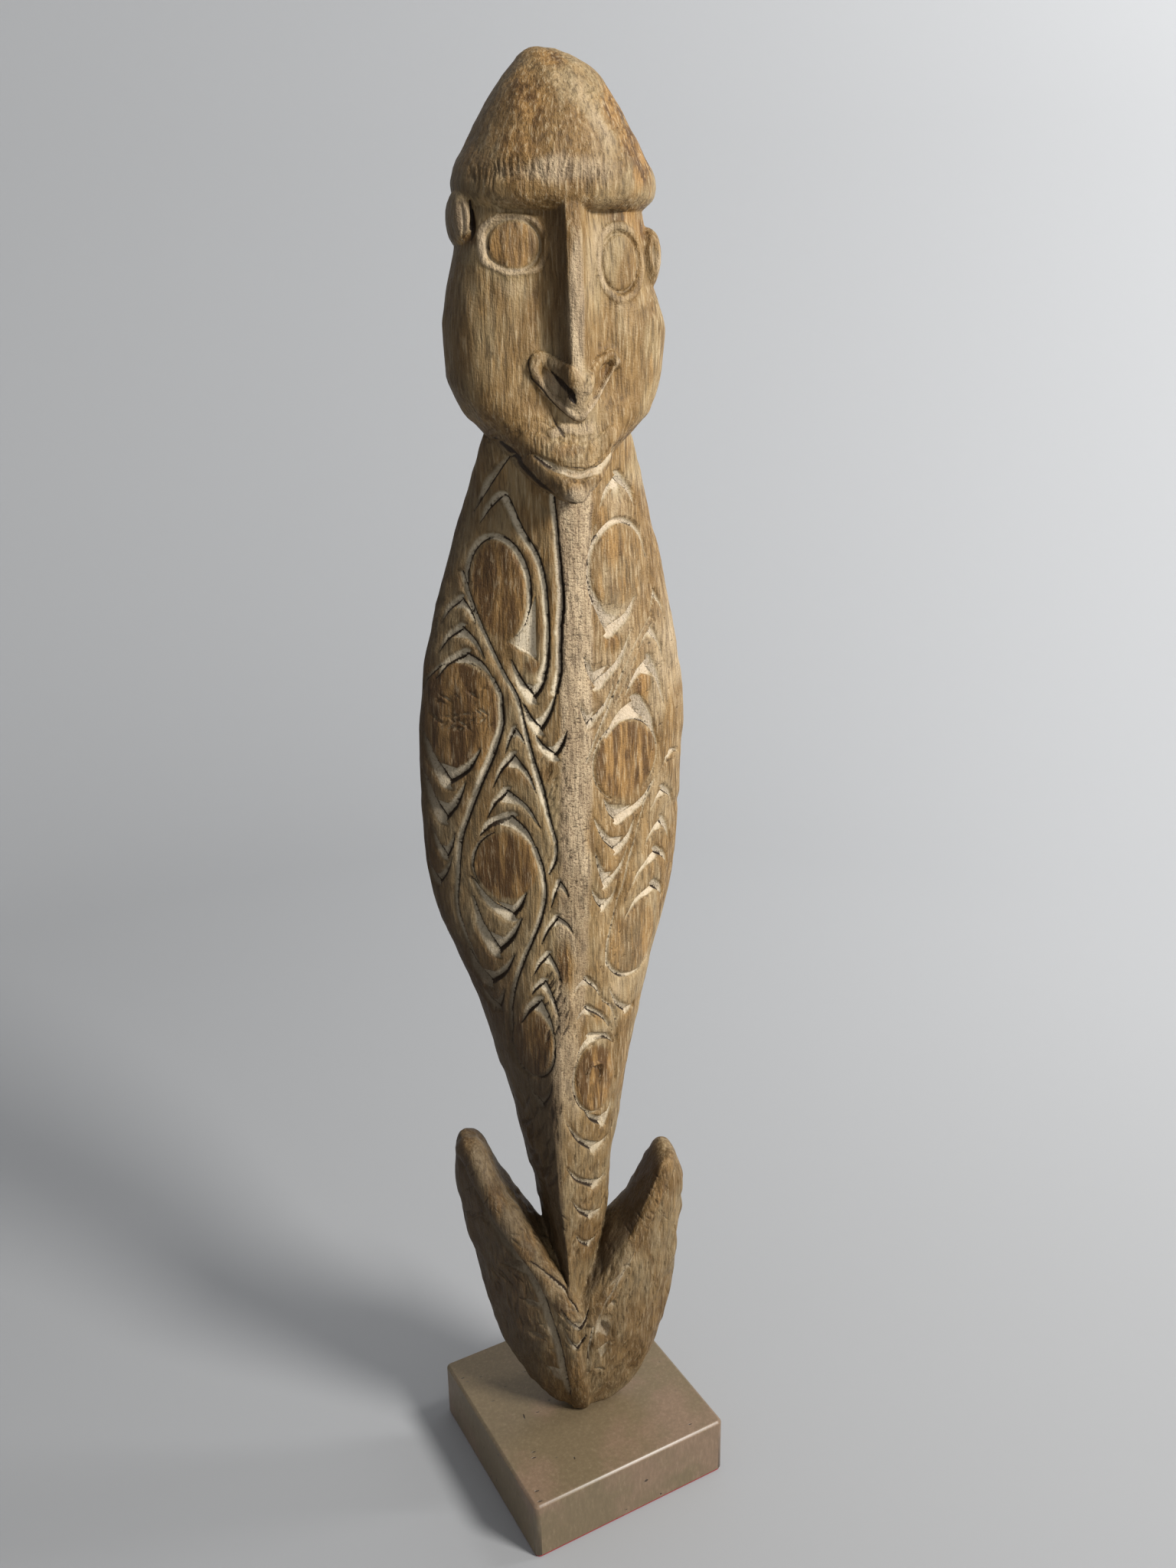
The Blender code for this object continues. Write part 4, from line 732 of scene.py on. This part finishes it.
def cut_shape(x, z, run, side):
    """One groove at places of the front view: distance inside its edge, depth and the painted shade of its
    steep wall.
    """
    inside, depth, wall = (np.zeros_like(x) for _ in range(3))
    for a, b in zip(run[:-1], run[1:]):
        step = b - a
        length = max(math.hypot(step[0], step[1]), 1e-6)
        along = np.clip(((x - a[0]) * step[0] + (z - a[1]) * step[1]) / length**2, 0, 1)
        off_x, off_z = x - a[0] - along * step[0], z - a[1] - along * step[1]
        width = a[2] + along * step[2]
        lean = side * LEAN * max(-1.0, min(1.0, STEEP_TURN * step[1] / length))
        left = step[0] * off_z - step[1] * off_x > 0
        gentle = left == (lean > 0)
        off, slant = np.hypot(off_x, off_z), abs(lean)
        reach = width * np.where(gentle, 1 + slant, 1 - slant)
        across = (np.where(gentle, off, -off) / width + 1 - slant) / 2
        foot = 0.5 - (0.5 - WALL_SHARE) * slant / LEAN
        floor = np.minimum(across / foot, (1 - across) / (1 - foot))
        inside = np.maximum(inside, reach - off)
        new = width * np.clip(floor, 0, 1) ** FLOOR_ROUND
        # Painted shade down the steep wall, and on the right flank a painted dark line at the wall's rim
        edge = np.clip((WALL_REACH * foot - across) / (foot * WALL_SOFT), 0, 1) * slant / LEAN
        edge *= np.clip(new / WALL_DEPTH, 0, 1)
        rim = np.clip(RIM_LEVEL - np.abs(off - reach + RIM_HALF) / RIM_HALF, 0, 1) * slant / LEAN * ~gentle
        steep = edge if side > 0 else RIM_SHARE * rim
        wall = np.where(new > depth, steep, np.maximum(wall, rim * (side < 0) * (depth == 0)))
        depth = np.maximum(depth, new)
    return inside, depth, wall


def facet_shape(x, z, corners):
    """Depth of a flat chip at places of the front view, none outside its three corners."""
    (ax, az, ad), (bx, bz, bd), (cx, cz, cd) = corners
    area = (bx - ax) * (cz - az) - (cx - ax) * (bz - az)
    share_b = ((x - ax) * (cz - az) - (cx - ax) * (z - az)) / area
    share_c = ((bx - ax) * (z - az) - (x - ax) * (bz - az)) / area
    share_a = 1 - share_b - share_c
    inside = np.clip(np.minimum(np.minimum(share_a, share_b), share_c) * FACET_EDGE, 0, 1)
    return (share_a * ad + share_b * bd + share_c * cd) * inside


def near(x, z, run, margin):
    """Which places lie in a run's own rectangle."""
    low, high = run[:, :2].min(0) - margin, run[:, :2].max(0) + margin
    return np.flatnonzero((x > low[0]) & (x < high[0]) & (z > low[1]) & (z < high[1]))


def carving(x, z):
    """Knife work at places of the front view: depth, height raised, clay, painted shade and rubbed paleness.
    """
    depth, wall, raised, fill, rubbed = (np.zeros_like(x) for _ in range(5))
    for run, side, clay, dark in all_cuts():
        spot = near(x, z, run, 2 * run[:, 2].max())
        _, deep, steep = cut_shape(x[spot], z[spot], run, side)
        deeper = deep > depth[spot]
        # Painted shade in slits and gouges, as dark as each is deep
        slit = dark * np.clip(deep / SLIT_DEPTH, 0, 1)
        wall[spot] = np.where(deeper | (depth[spot] == 0), np.maximum(steep, slit), wall[spot])
        fill[spot] = np.where(deeper, clay, fill[spot])
        depth[spot] = np.maximum(depth[spot], deep)
    for corners in FACETS + [chevron_facet(*chevron) for chevron in CHEVRONS]:
        spot = near(x, z, np.array(corners), 0)
        deep = facet_shape(x[spot], z[spot], corners)
        deeper = deep > depth[spot]
        wall[spot] = np.where(deeper, 0, wall[spot])
        fill[spot] = np.where(deeper, 1, fill[spot])
        depth[spot] = np.maximum(depth[spot], deep)
    for points, width, height, share in ROLLS:
        run = bent([(*point, width) for point in points])
        spot = near(x, z, run, width)
        off = 1 - cut_shape(x[spot], z[spot], run, 0.0)[0] / width
        arch = np.sqrt(np.clip(1 - off**2, 0, 1))
        raised[spot] = np.maximum(raised[spot], height * arch)
        rubbed[spot] = np.maximum(rubbed[spot], share * arch)
    return depth, raised, fill, wall, rubbed


def worn_pale(x, z):
    """Share of the pale, rubbed surface: on the ridge, the right flank and some spots of the face."""
    ridge = np.clip((RIDGE_HALF - np.abs(x - track(PALE_RIDGE)(z))) / RIDGE_SOFT, 0, 1)
    right = FLANK_PALE * np.clip((x - FLANK_FROM) / FLANK_SOFT, 0, 1)
    pale = np.maximum(ridge, right) * track(PALE_SHARE)(z)
    for mid_x, mid_z, half_x, half_z, strength in PALE_SPOTS:
        away = np.hypot((x - mid_x) / half_x, (z - mid_z) / half_z)
        pale = np.maximum(pale, strength * np.clip(1 - away, 0, SPOT_MOST))
    return pale


def boss_shape(x, z):
    """How far the handled brown of a round boss covers each place."""
    brown = np.zeros_like(x)
    for mid_x, mid_z, half_x, half_z, *_, strength in EYES:
        away = np.hypot((x - mid_x) / half_x, (z - mid_z) / half_z)
        cover = np.clip((1 - away) * min(half_x, half_z) / BOSS_SOFT + 0.5, 0, 1)
        brown = np.maximum(brown, strength * cover)
    for mid_x, mid_z, half_x, half_z, strength in PATCHES:
        away = np.hypot((x - mid_x) / half_x, (z - mid_z) / half_z)
        brown = np.maximum(brown, strength * np.clip(PATCH_SOFT - PATCH_SOFT * away, 0, 1))
    return brown


def lattice_noise(place, seed):
    """Smooth noise from 0 to 1 at places, one lattice step to a unit."""
    base = np.floor(place).astype(np.int64)
    part = place - base
    part = part * part * (3 - 2 * part)
    total = np.zeros(len(place))
    for corner in np.ndindex(2, 2, 2):
        key = (base + corner) @ np.array(LATTICE_STEPS) + seed * SEED_STEP
        key = (key ^ (key >> 13)) * LATTICE_MIX & 0xFFFFFFFF
        level = ((key ^ (key >> 16)) & 0xFFFF) / 65535
        total += level * np.prod(np.where(np.array(corner) == 1, part, 1 - part), 1)
    return total


def vertex_values(mesh, name):
    """Places or normals of a mesh, one row for each vertex."""
    values = np.empty(len(mesh.vertices) * 3)
    mesh.vertices.foreach_get(name, values)
    return values.reshape(-1, 3)


def keep_value(mesh, name, values):
    """Keeps one number for each vertex, for the wood's shader."""
    kept = mesh.attributes.new(name, "FLOAT", "POINT")
    kept.data.foreach_set("value", values.astype(np.float32))


def carve(mesh):
    """Sink the knife work into the front of the form, add tool marks, and flatten the foot."""
    place = vertex_values(mesh, "co") / MM
    normal = vertex_values(mesh, "normal")
    facing = np.clip((-normal[:, 1] - FACING_NONE) / (FACING_FULL - FACING_NONE), 0, 1)
    x, z = place[:, 0], place[:, 2]
    cut, raised, fill, wall, rubbed = carving(x, z)
    depth = np.where(x > RIDGE_SIDE, RIGHT_SLOPE, CUT_SLOPE) * cut - raised
    pale = np.maximum(worn_pale(x, z), rubbed) * facing
    keep_value(mesh, "deep", np.clip(cut / DEEP_FULL, 0, 1) * facing)
    keep_value(mesh, "wall", wall * facing)
    keep_value(mesh, "clay", track(CLAY_SHARE)(z) * fill * facing)
    keep_value(mesh, "boss", boss_shape(x, z) * facing)
    keep_value(mesh, "pale", pale)
    ridge = track(PALE_RIDGE)(z)
    speck = np.where(np.abs(x - ridge) < SPECK_HALF, SPECK_RIDGE, SPECK_ELSE)
    keep_value(mesh, "speck", speck * (z < SPECK_TOP))
    # Painted shade: on the left flank, on surfaces that face left, on the shaft's left and darker towards the
    # foot
    left_shade = track(LEFT_SHADE)(z) * np.clip((ridge - LEFT_SHADE_FROM - x) / LEFT_SHADE_SOFT, 0, 1)
    side = SIDE_SHADE * np.clip((-normal[:, 0] - SIDE_FROM) / SIDE_SOFT, 0, 1)
    shaft = SHAFT_SHADE * np.clip((SHAFT_EDGE - x) / 2, 0, 1) * np.clip((x - SHAFT_LEFT) / 3, 0, 1)
    shaft *= np.clip((z - SHAFT_LOW) / 10, 0, 1) * np.clip((SHAFT_HIGH - z) / 30, 0, 1)
    painted_shade = np.maximum(track(SHADE_BY_HEIGHT)(z) + left_shade, shaft) + side
    keep_value(mesh, "painted_shade", np.minimum(painted_shade, SHADE_MOST))
    lumps = lattice_noise(place / LUMP_SIZE, 1) - 0.5
    facets = lattice_noise(place / FACET_SIZE, 4) - 0.5
    strokes = lattice_noise(place / STROKE_SIZE, 2) - 0.5
    pits = lattice_noise(place / PIT_SIZE, 3) - 0.5
    hook = HOOK_ROUGH * np.clip((HOOK_FROM - z) / HOOK_SOFT, 0, 1)
    rough = (LUMP + hook) * lumps + (FACET + hook) * facets
    rough += STROKE * strokes + (PIT + PALE_ROUGH * pale) * pits
    place -= normal * (depth * facing + rough)[:, None]
    place[:, 2] = np.clip(place[:, 2], STONE_TOP + REST_GAP, cad_high.z / MM)
    mesh.vertices.foreach_set("co", (place * MM).ravel())
    mesh.update()
    return np.flatnonzero(facing == 0)


# Materials
def shader_of(name, roughness):
    """A new node material, its tree and its Principled shader."""
    made = bpy.data.materials.new(name)
    made.use_nodes = True
    shader = made.node_tree.nodes["Principled BSDF"]
    shader.inputs["Roughness"].default_value = roughness
    return made, made.node_tree, shader


def node(tree, kind, settings=None, **inputs):
    """One node with its settings and inputs, each input a value or another node's socket."""
    made = tree.nodes.new("ShaderNode" + kind)
    for key, value in (settings or {}).items():
        setattr(made, key, value)
    for key, value in inputs.items():
        name = key.replace("_", " ")
        socket = made.inputs[int(name[3:])] if name.startswith("in ") else made.inputs[name]
        if isinstance(value, bpy.types.NodeSocket):
            tree.links.new(value, socket)
        else:
            socket.default_value = value
    return made


def grain(tree, place, scale, detail=4.0, rough=0.6, stretch=(1, 1, 1), twist=0.0):
    """Noise from 0 to 1, its features about one over scale metres wide, stretched along the axes."""
    mapped = node(tree, "Mapping", Vector=place, Scale=stretch).outputs["Vector"]
    return node(tree, "TexNoise", Vector=mapped, Scale=scale, Detail=detail, Roughness=rough,
                Distortion=twist).outputs["Fac"]


def ramp(tree, value, low, high, to_low=0.0, to_high=1.0):
    """Smooth step of a value between two limits."""
    return node(tree, "MapRange", {"interpolation_type": "SMOOTHSTEP"}, Value=value, From_Min=low,
                From_Max=high, To_Min=to_low, To_Max=to_high).outputs["Result"]


def maths(tree, kind, one, two):
    """Sum, difference, product or such of two values."""
    return node(tree, "Math", {"operation": kind}, in_0=one, in_1=two).outputs["Value"]


def mixed(tree, share, one, two, how="MIX"):
    """Mix of two colours; a colour is three numbers or a socket."""
    made = tree.nodes.new("ShaderNodeMix")
    made.data_type, made.blend_type = "RGBA", how
    for socket, value in ((made.inputs[0], share), (made.inputs[6], one), (made.inputs[7], two)):
        if isinstance(value, bpy.types.NodeSocket):
            tree.links.new(value, socket)
        else:
            socket.default_value = (*value, 1) if isinstance(value, tuple) else value
    return made.outputs[2]


def kept_value(tree, name):
    """One of the numbers kept on the vertices."""
    return node(tree, "Attribute", {"attribute_name": name}).outputs["Fac"]


def wood_material():
    """Old carved wood: brown where it is handled, greyed elsewhere, with pale clay left in the cuts, and
    painted shade in the cuts, on the left and towards the foot.
    """
    made, tree, shader = shader_of("carved_wood", 0.6)
    place = node(tree, "TexCoord").outputs["Object"]
    line = grain(tree, place, 900, 3, 0.65, (1, 1, 0.11), 0.2)
    streak = grain(tree, place, 230, 4, 0.6, (1, 1, 0.15), 0.5)
    patch = grain(tree, place, 42, 3, 0.55, (1, 1, 0.5), 0.8)
    stipple = grain(tree, place, 950, 2, 0.6, (1, 1, 1.4), 0.3)
    deep, wall, clay, boss, pale, painted_shade, speck = (kept_value(tree, name) for name in
                                                 ("deep", "wall", "clay", "boss", "pale", "painted_shade", "speck"))

    # Brown and grey wood with golden streaks, darker where it is handled and paler where it is rubbed
    colour = mixed(tree, ramp(tree, patch, 0.38, 0.62), BROWN_WOOD, GREY_WOOD)
    colour = mixed(tree, ramp(tree, streak, 0.40, 0.72, 0.0, 0.55), colour, GOLD_WOOD)
    blend = maths(tree, "MULTIPLY", maths(tree, "ADD", streak, patch), 0.5)
    handled = ramp(tree, maths(tree, "ADD", boss, blend), 0.6, 1.3)
    colour = mixed(tree, handled, colour, mixed(tree, ramp(tree, streak, 0.42, 0.60), DARK_WOOD, RED_WOOD))
    bare = maths(tree, "SUBTRACT", pale, maths(tree, "MULTIPLY", boss, 0.7))
    rubbed = ramp(tree, maths(tree, "ADD", bare, maths(tree, "MULTIPLY", patch, 1.2)), 0.75, 1.45)
    colour = mixed(tree, rubbed, colour, mixed(tree, ramp(tree, streak, 0.4, 0.65), PINK_WOOD, RUBBED_WOOD))

    # Fine dark and pale lines along the grain, and small pits in the rubbed wood
    colour = mixed(tree, ramp(tree, line, 0.36, 0.50, 0.45, 0.0), colour, GRAIN_AND_SHADE_DARK)
    colour = mixed(tree, ramp(tree, line, 0.52, 0.68, 0.0, 0.4), colour, PALE_WOOD)
    pits = maths(tree, "MULTIPLY", ramp(tree, stipple, 0.46, 0.36), ramp(tree, rubbed, 0.1, 0.8))
    colour = mixed(tree, maths(tree, "MULTIPLY", pits, speck), colour, PIT_WOOD)

    # Clay left in the cuts, greyed and worn in places, then painted shade on the walls and in the slits, and
    # painted shade on the left and towards the foot
    left = maths(tree, "ADD", deep, maths(tree, "MULTIPLY", streak, 0.6))
    residue = maths(tree, "MULTIPLY", ramp(tree, left, 0.62, 1.12), clay)
    clay_colour = mixed(tree, ramp(tree, pale, 0.1, 0.4), CLAY, CLAY_DIM)
    clay_colour = mixed(tree, ramp(tree, left, 0.75, 1.3), CLAY_GREY, clay_colour)
    clay_colour = mixed(tree, ramp(tree, stipple, 0.46, 0.32, 0.0, 0.6), clay_colour, GREY_WOOD)
    colour = mixed(tree, residue, colour, clay_colour)
    # Painted shade on the steep walls and in the slits
    colour = mixed(tree, ramp(tree, wall, 0.1, 0.75), colour, GRAIN_AND_SHADE_DARK)
    colour = mixed(tree, painted_shade, colour, SHADE_WOOD)
    tree.links.new(colour, shader.inputs["Base Color"])
    tree.links.new(ramp(tree, residue, 0.0, 1.0, 0.52, 0.85), shader.inputs["Roughness"])
    shader.inputs["Specular IOR Level"].default_value = 0.22
    height = maths(tree, "ADD", maths(tree, "MULTIPLY", line, 0.7),
                   maths(tree, "MULTIPLY", stipple, ramp(tree, pale, 0.0, 1.0, 0.3, 0.9)))
    bump = node(tree, "Bump", Height=height, Strength=1.0, Distance=0.0009)
    tree.links.new(bump.outputs["Normal"], shader.inputs["Normal"])
    return made


def stone_material():
    """Polished beige stone with faint clouds, a pinkish patch, small dark pits and dark marks."""
    made, tree, shader = shader_of("polished_stone", 0.34)
    shader.inputs["Specular IOR Level"].default_value = 0.42
    place = node(tree, "TexCoord").outputs["Object"]
    cloud = grain(tree, place, 22, 4, 0.6)
    fine = grain(tree, place, 650, 4, 0.75, (1, 1, 0.3))
    colour = mixed(tree, ramp(tree, cloud, 0.45, 0.62), STONE, STONE_PINK)
    colour = mixed(tree, ramp(tree, fine, 0.35, 0.65, 0.3, 0.0), colour, STONE_DARK)
    colour = mixed(tree, ramp(tree, fine, 0.55, 0.75, 0.0, 0.25), colour, STONE_PALE)
    few = grain(tree, place, 45, 2, 0.5)
    marks = []
    for scale, stretch, size, share in STONE_MARKS:
        mapped = node(tree, "Mapping", Vector=place, Scale=stretch).outputs["Vector"]
        spots = node(tree, "TexVoronoi", {"feature": "F1"}, Scale=scale, Randomness=1.0, Vector=mapped)
        marks.append(maths(tree, "MULTIPLY", ramp(tree, spots.outputs["Distance"], size * 1.5, size),
                           ramp(tree, few, share - 0.04, share + 0.02)))
    pit = maths(tree, "MAXIMUM", maths(tree, "MAXIMUM", marks[0], marks[1]), marks[2])
    colour = mixed(tree, maths(tree, "MULTIPLY", pit, 0.85), colour, STONE_PIT)
    tree.links.new(colour, shader.inputs["Base Color"])
    bump = node(tree, "Bump", {"invert": True}, Height=pit, Strength=0.6, Distance=0.0004)
    tree.links.new(bump.outputs["Normal"], shader.inputs["Normal"])
    return made


def felt_material():
    """Dark red felt with a fuzzy surface."""
    made, tree, shader = shader_of("red_felt", 0.95)
    place = node(tree, "TexCoord").outputs["Object"]
    fuzz = grain(tree, place, 2500, 4, 0.7)
    tree.links.new(mixed(tree, ramp(tree, fuzz, 0.3, 0.7), FELT, FELT_FUZZ), shader.inputs["Base Color"])
    bump = node(tree, "Bump", Height=fuzz, Strength=0.8, Distance=0.0003)
    tree.links.new(bump.outputs["Normal"], shader.inputs["Normal"])
    return made


def repaint(name, material):
    """Gives a CAD piece a finer material."""
    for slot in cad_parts[name].material_slots:
        slot.material = material


def thinned(mesh, triangles, spots=None):
    """The mesh with fewer triangles: that many in all, or that many more than its part without the spots."""
    obj = bpy.data.objects.new("thinned", mesh)
    bpy.context.collection.objects.link(obj)
    mesh.calc_loop_triangles()
    count = len(mesh.loop_triangles)
    thin = obj.modifiers.new("thin", "DECIMATE")
    thin.use_collapse_triangulate = True
    if spots is not None:
        group = obj.vertex_groups.new(name="plain")
        group.add(spots.tolist(), 1.0, "REPLACE")
        thin.vertex_group = group.name
        triangles += count * (1 - len(spots) / len(mesh.vertices))
    thin.ratio = triangles / count
    return applied(obj)


def make_figure():
    """The whole carving as one fine piece."""
    shells = [cap_rings(), head_rings(), body_rings(), anchor_rings()]
    shells += [lobe_rings(centre, half) for centre, half in EARS]
    mesh = fused_form(shells, FORM_GRAIN)
    mesh = thinned(mesh, BACK_TRIANGLES, carve(mesh))
    mesh = thinned(mesh, FIGURE_TRIANGLES)
    mesh.shade_smooth()
    mesh.materials.clear()
    mesh.materials.append(wood_material())
    figure = bpy.data.objects.new("carved_figure", mesh)
    bpy.context.collection.objects.link(figure)
    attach(figure, "root")
    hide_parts("hook_figure")


def make_stone():
    """The stone block with rounded upright corners and a softened chamfer round its top."""
    form = bmesh.new()
    bmesh.ops.create_cube(form, size=1.0)
    for vert in form.verts:
        vert.co.x *= STONE_SIDE
        vert.co.y *= STONE_SIDE
        vert.co.z = STONE_TOP if vert.co.z > 0 else STONE_BOTTOM
    upright = [edge for edge in form.edges if abs(edge.verts[0].co.z - edge.verts[1].co.z) > 1]
    bmesh.ops.bevel(form, geom=upright, offset=STONE_CORNER, segments=5, profile=0.5, affect="EDGES")
    rim = [edge for edge in form.edges if all(vert.co.z > STONE_TOP - 0.1 for vert in edge.verts)]
    bmesh.ops.bevel(form, geom=rim, offset=STONE_CHAMFER, segments=1, affect="EDGES")
    form.normal_update()
    arris = [edge for edge in form.edges if edge.calc_face_angle(0) > STONE_FOLD
             and all(vert.co.z > STONE_TOP - 1.5 * STONE_CHAMFER for vert in edge.verts)]
    bmesh.ops.bevel(form, geom=arris, offset=STONE_ROUND, segments=3, profile=0.5, affect="EDGES")
    form.transform(Matrix.Scale(MM, 4) @ Matrix.Rotation(STONE_TURN, 4, "Z"))
    mesh = bpy.data.meshes.new("block")
    form.to_mesh(mesh)
    form.free()
    for face in mesh.polygons:
        face.use_smooth = face.area < STONE_SIDE * STONE_TOP * MM**2 / 2
    mesh.materials.append(stone_material())
    block = bpy.data.objects.new("polished_block", mesh)
    bpy.context.collection.objects.link(block)
    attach(block, "root")
    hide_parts("stone_base")


def make_floor():
    """Plain pale floor that curves up all round."""
    rings = [(0.05, 0)] + [(FLOOR_FLAT * share, 0) for share in (0.3, 0.6, 0.8, 1)]
    rings += [(FLOOR_FLAT + FLOOR_RISE * math.sin(turn), FLOOR_RISE * (1 - math.cos(turn)))
              for turn in np.radians(np.arange(5, 91, 5))]
    rings.append((FLOOR_FLAT + FLOOR_RISE, FLOOR_TOP))
    count = 96
    verts = [(r * math.cos(k * math.tau / count), r * math.sin(k * math.tau / count), z)
             for r, z in rings for k in range(count)]
    faces = [(low + k, low + (k + 1) % count, low + count + (k + 1) % count, low + count + k)
             for low in range(0, count * (len(rings) - 1), count) for k in range(count)]
    faces.append(tuple(range(count))[::-1])
    mesh = bpy.data.meshes.new("floor")
    mesh.from_pydata(verts, [], faces)
    mesh.shade_smooth()
    made, tree, shader = shader_of("pale_floor", 0.9)
    shader.inputs["Base Color"].default_value = (*FLOOR_COLOUR, 1)
    mesh.materials.append(made)
    floor = bpy.data.objects.new("floor", mesh)
    bpy.context.collection.objects.link(floor)


def area_light(name, place, aim, size, power, colour):
    """Round soft light at a place, turned towards its aim."""
    light = bpy.data.lights.new(name, "AREA")
    light.shape, light.size, light.energy, light.color = "DISK", size, power, colour
    obj = bpy.data.objects.new(name, light)
    obj.location = place
    obj.rotation_euler = (Vector(aim) - Vector(place)).to_track_quat("-Z", "Y").to_euler()
    bpy.context.collection.objects.link(obj)


def make_light():
    """Soft key from the right front, a light on the backdrop and an even sky."""
    for light in LIGHTS:
        area_light(*light)
    world = bpy.data.worlds.new("soft")
    world.use_nodes = True
    world.node_tree.nodes["Background"].inputs["Color"].default_value = (*SKY_COLOUR, 1)
    world.node_tree.nodes["Background"].inputs["Strength"].default_value = SKY_LEVEL
    bpy.context.scene.world = world
    bpy.context.scene.view_settings.view_transform = "Standard"


def make_camera():
    """The photograph's own view, its picture taken to be 1536 by 2048."""
    data = bpy.data.cameras.new("camera")
    data.sensor_width = SENSOR
    data.lens = SENSOR * FOCAL_PIXELS / IMAGE_LONG
    camera = bpy.data.objects.new("camera", data)
    flat = math.cos(CAMERA_DROP)
    ahead = Vector((math.cos(CAMERA_TURN) * flat, math.sin(CAMERA_TURN) * flat, -math.sin(CAMERA_DROP)))
    level = ahead.cross(Vector((0, 0, 1))).normalized()
    lift = level.cross(ahead)
    right = level * math.cos(CAMERA_ROLL) + lift * math.sin(CAMERA_ROLL)
    up = lift * math.cos(CAMERA_ROLL) - level * math.sin(CAMERA_ROLL)
    camera.matrix_world = Matrix.Translation(CAMERA_PLACE) @ Matrix((right, up, -ahead)).transposed().to_4x4()
    bpy.context.collection.objects.link(camera)
    bpy.context.scene.camera = camera


make_camera()
make_figure()
make_stone()
repaint("felt_pad", felt_material())
make_floor()
make_light()
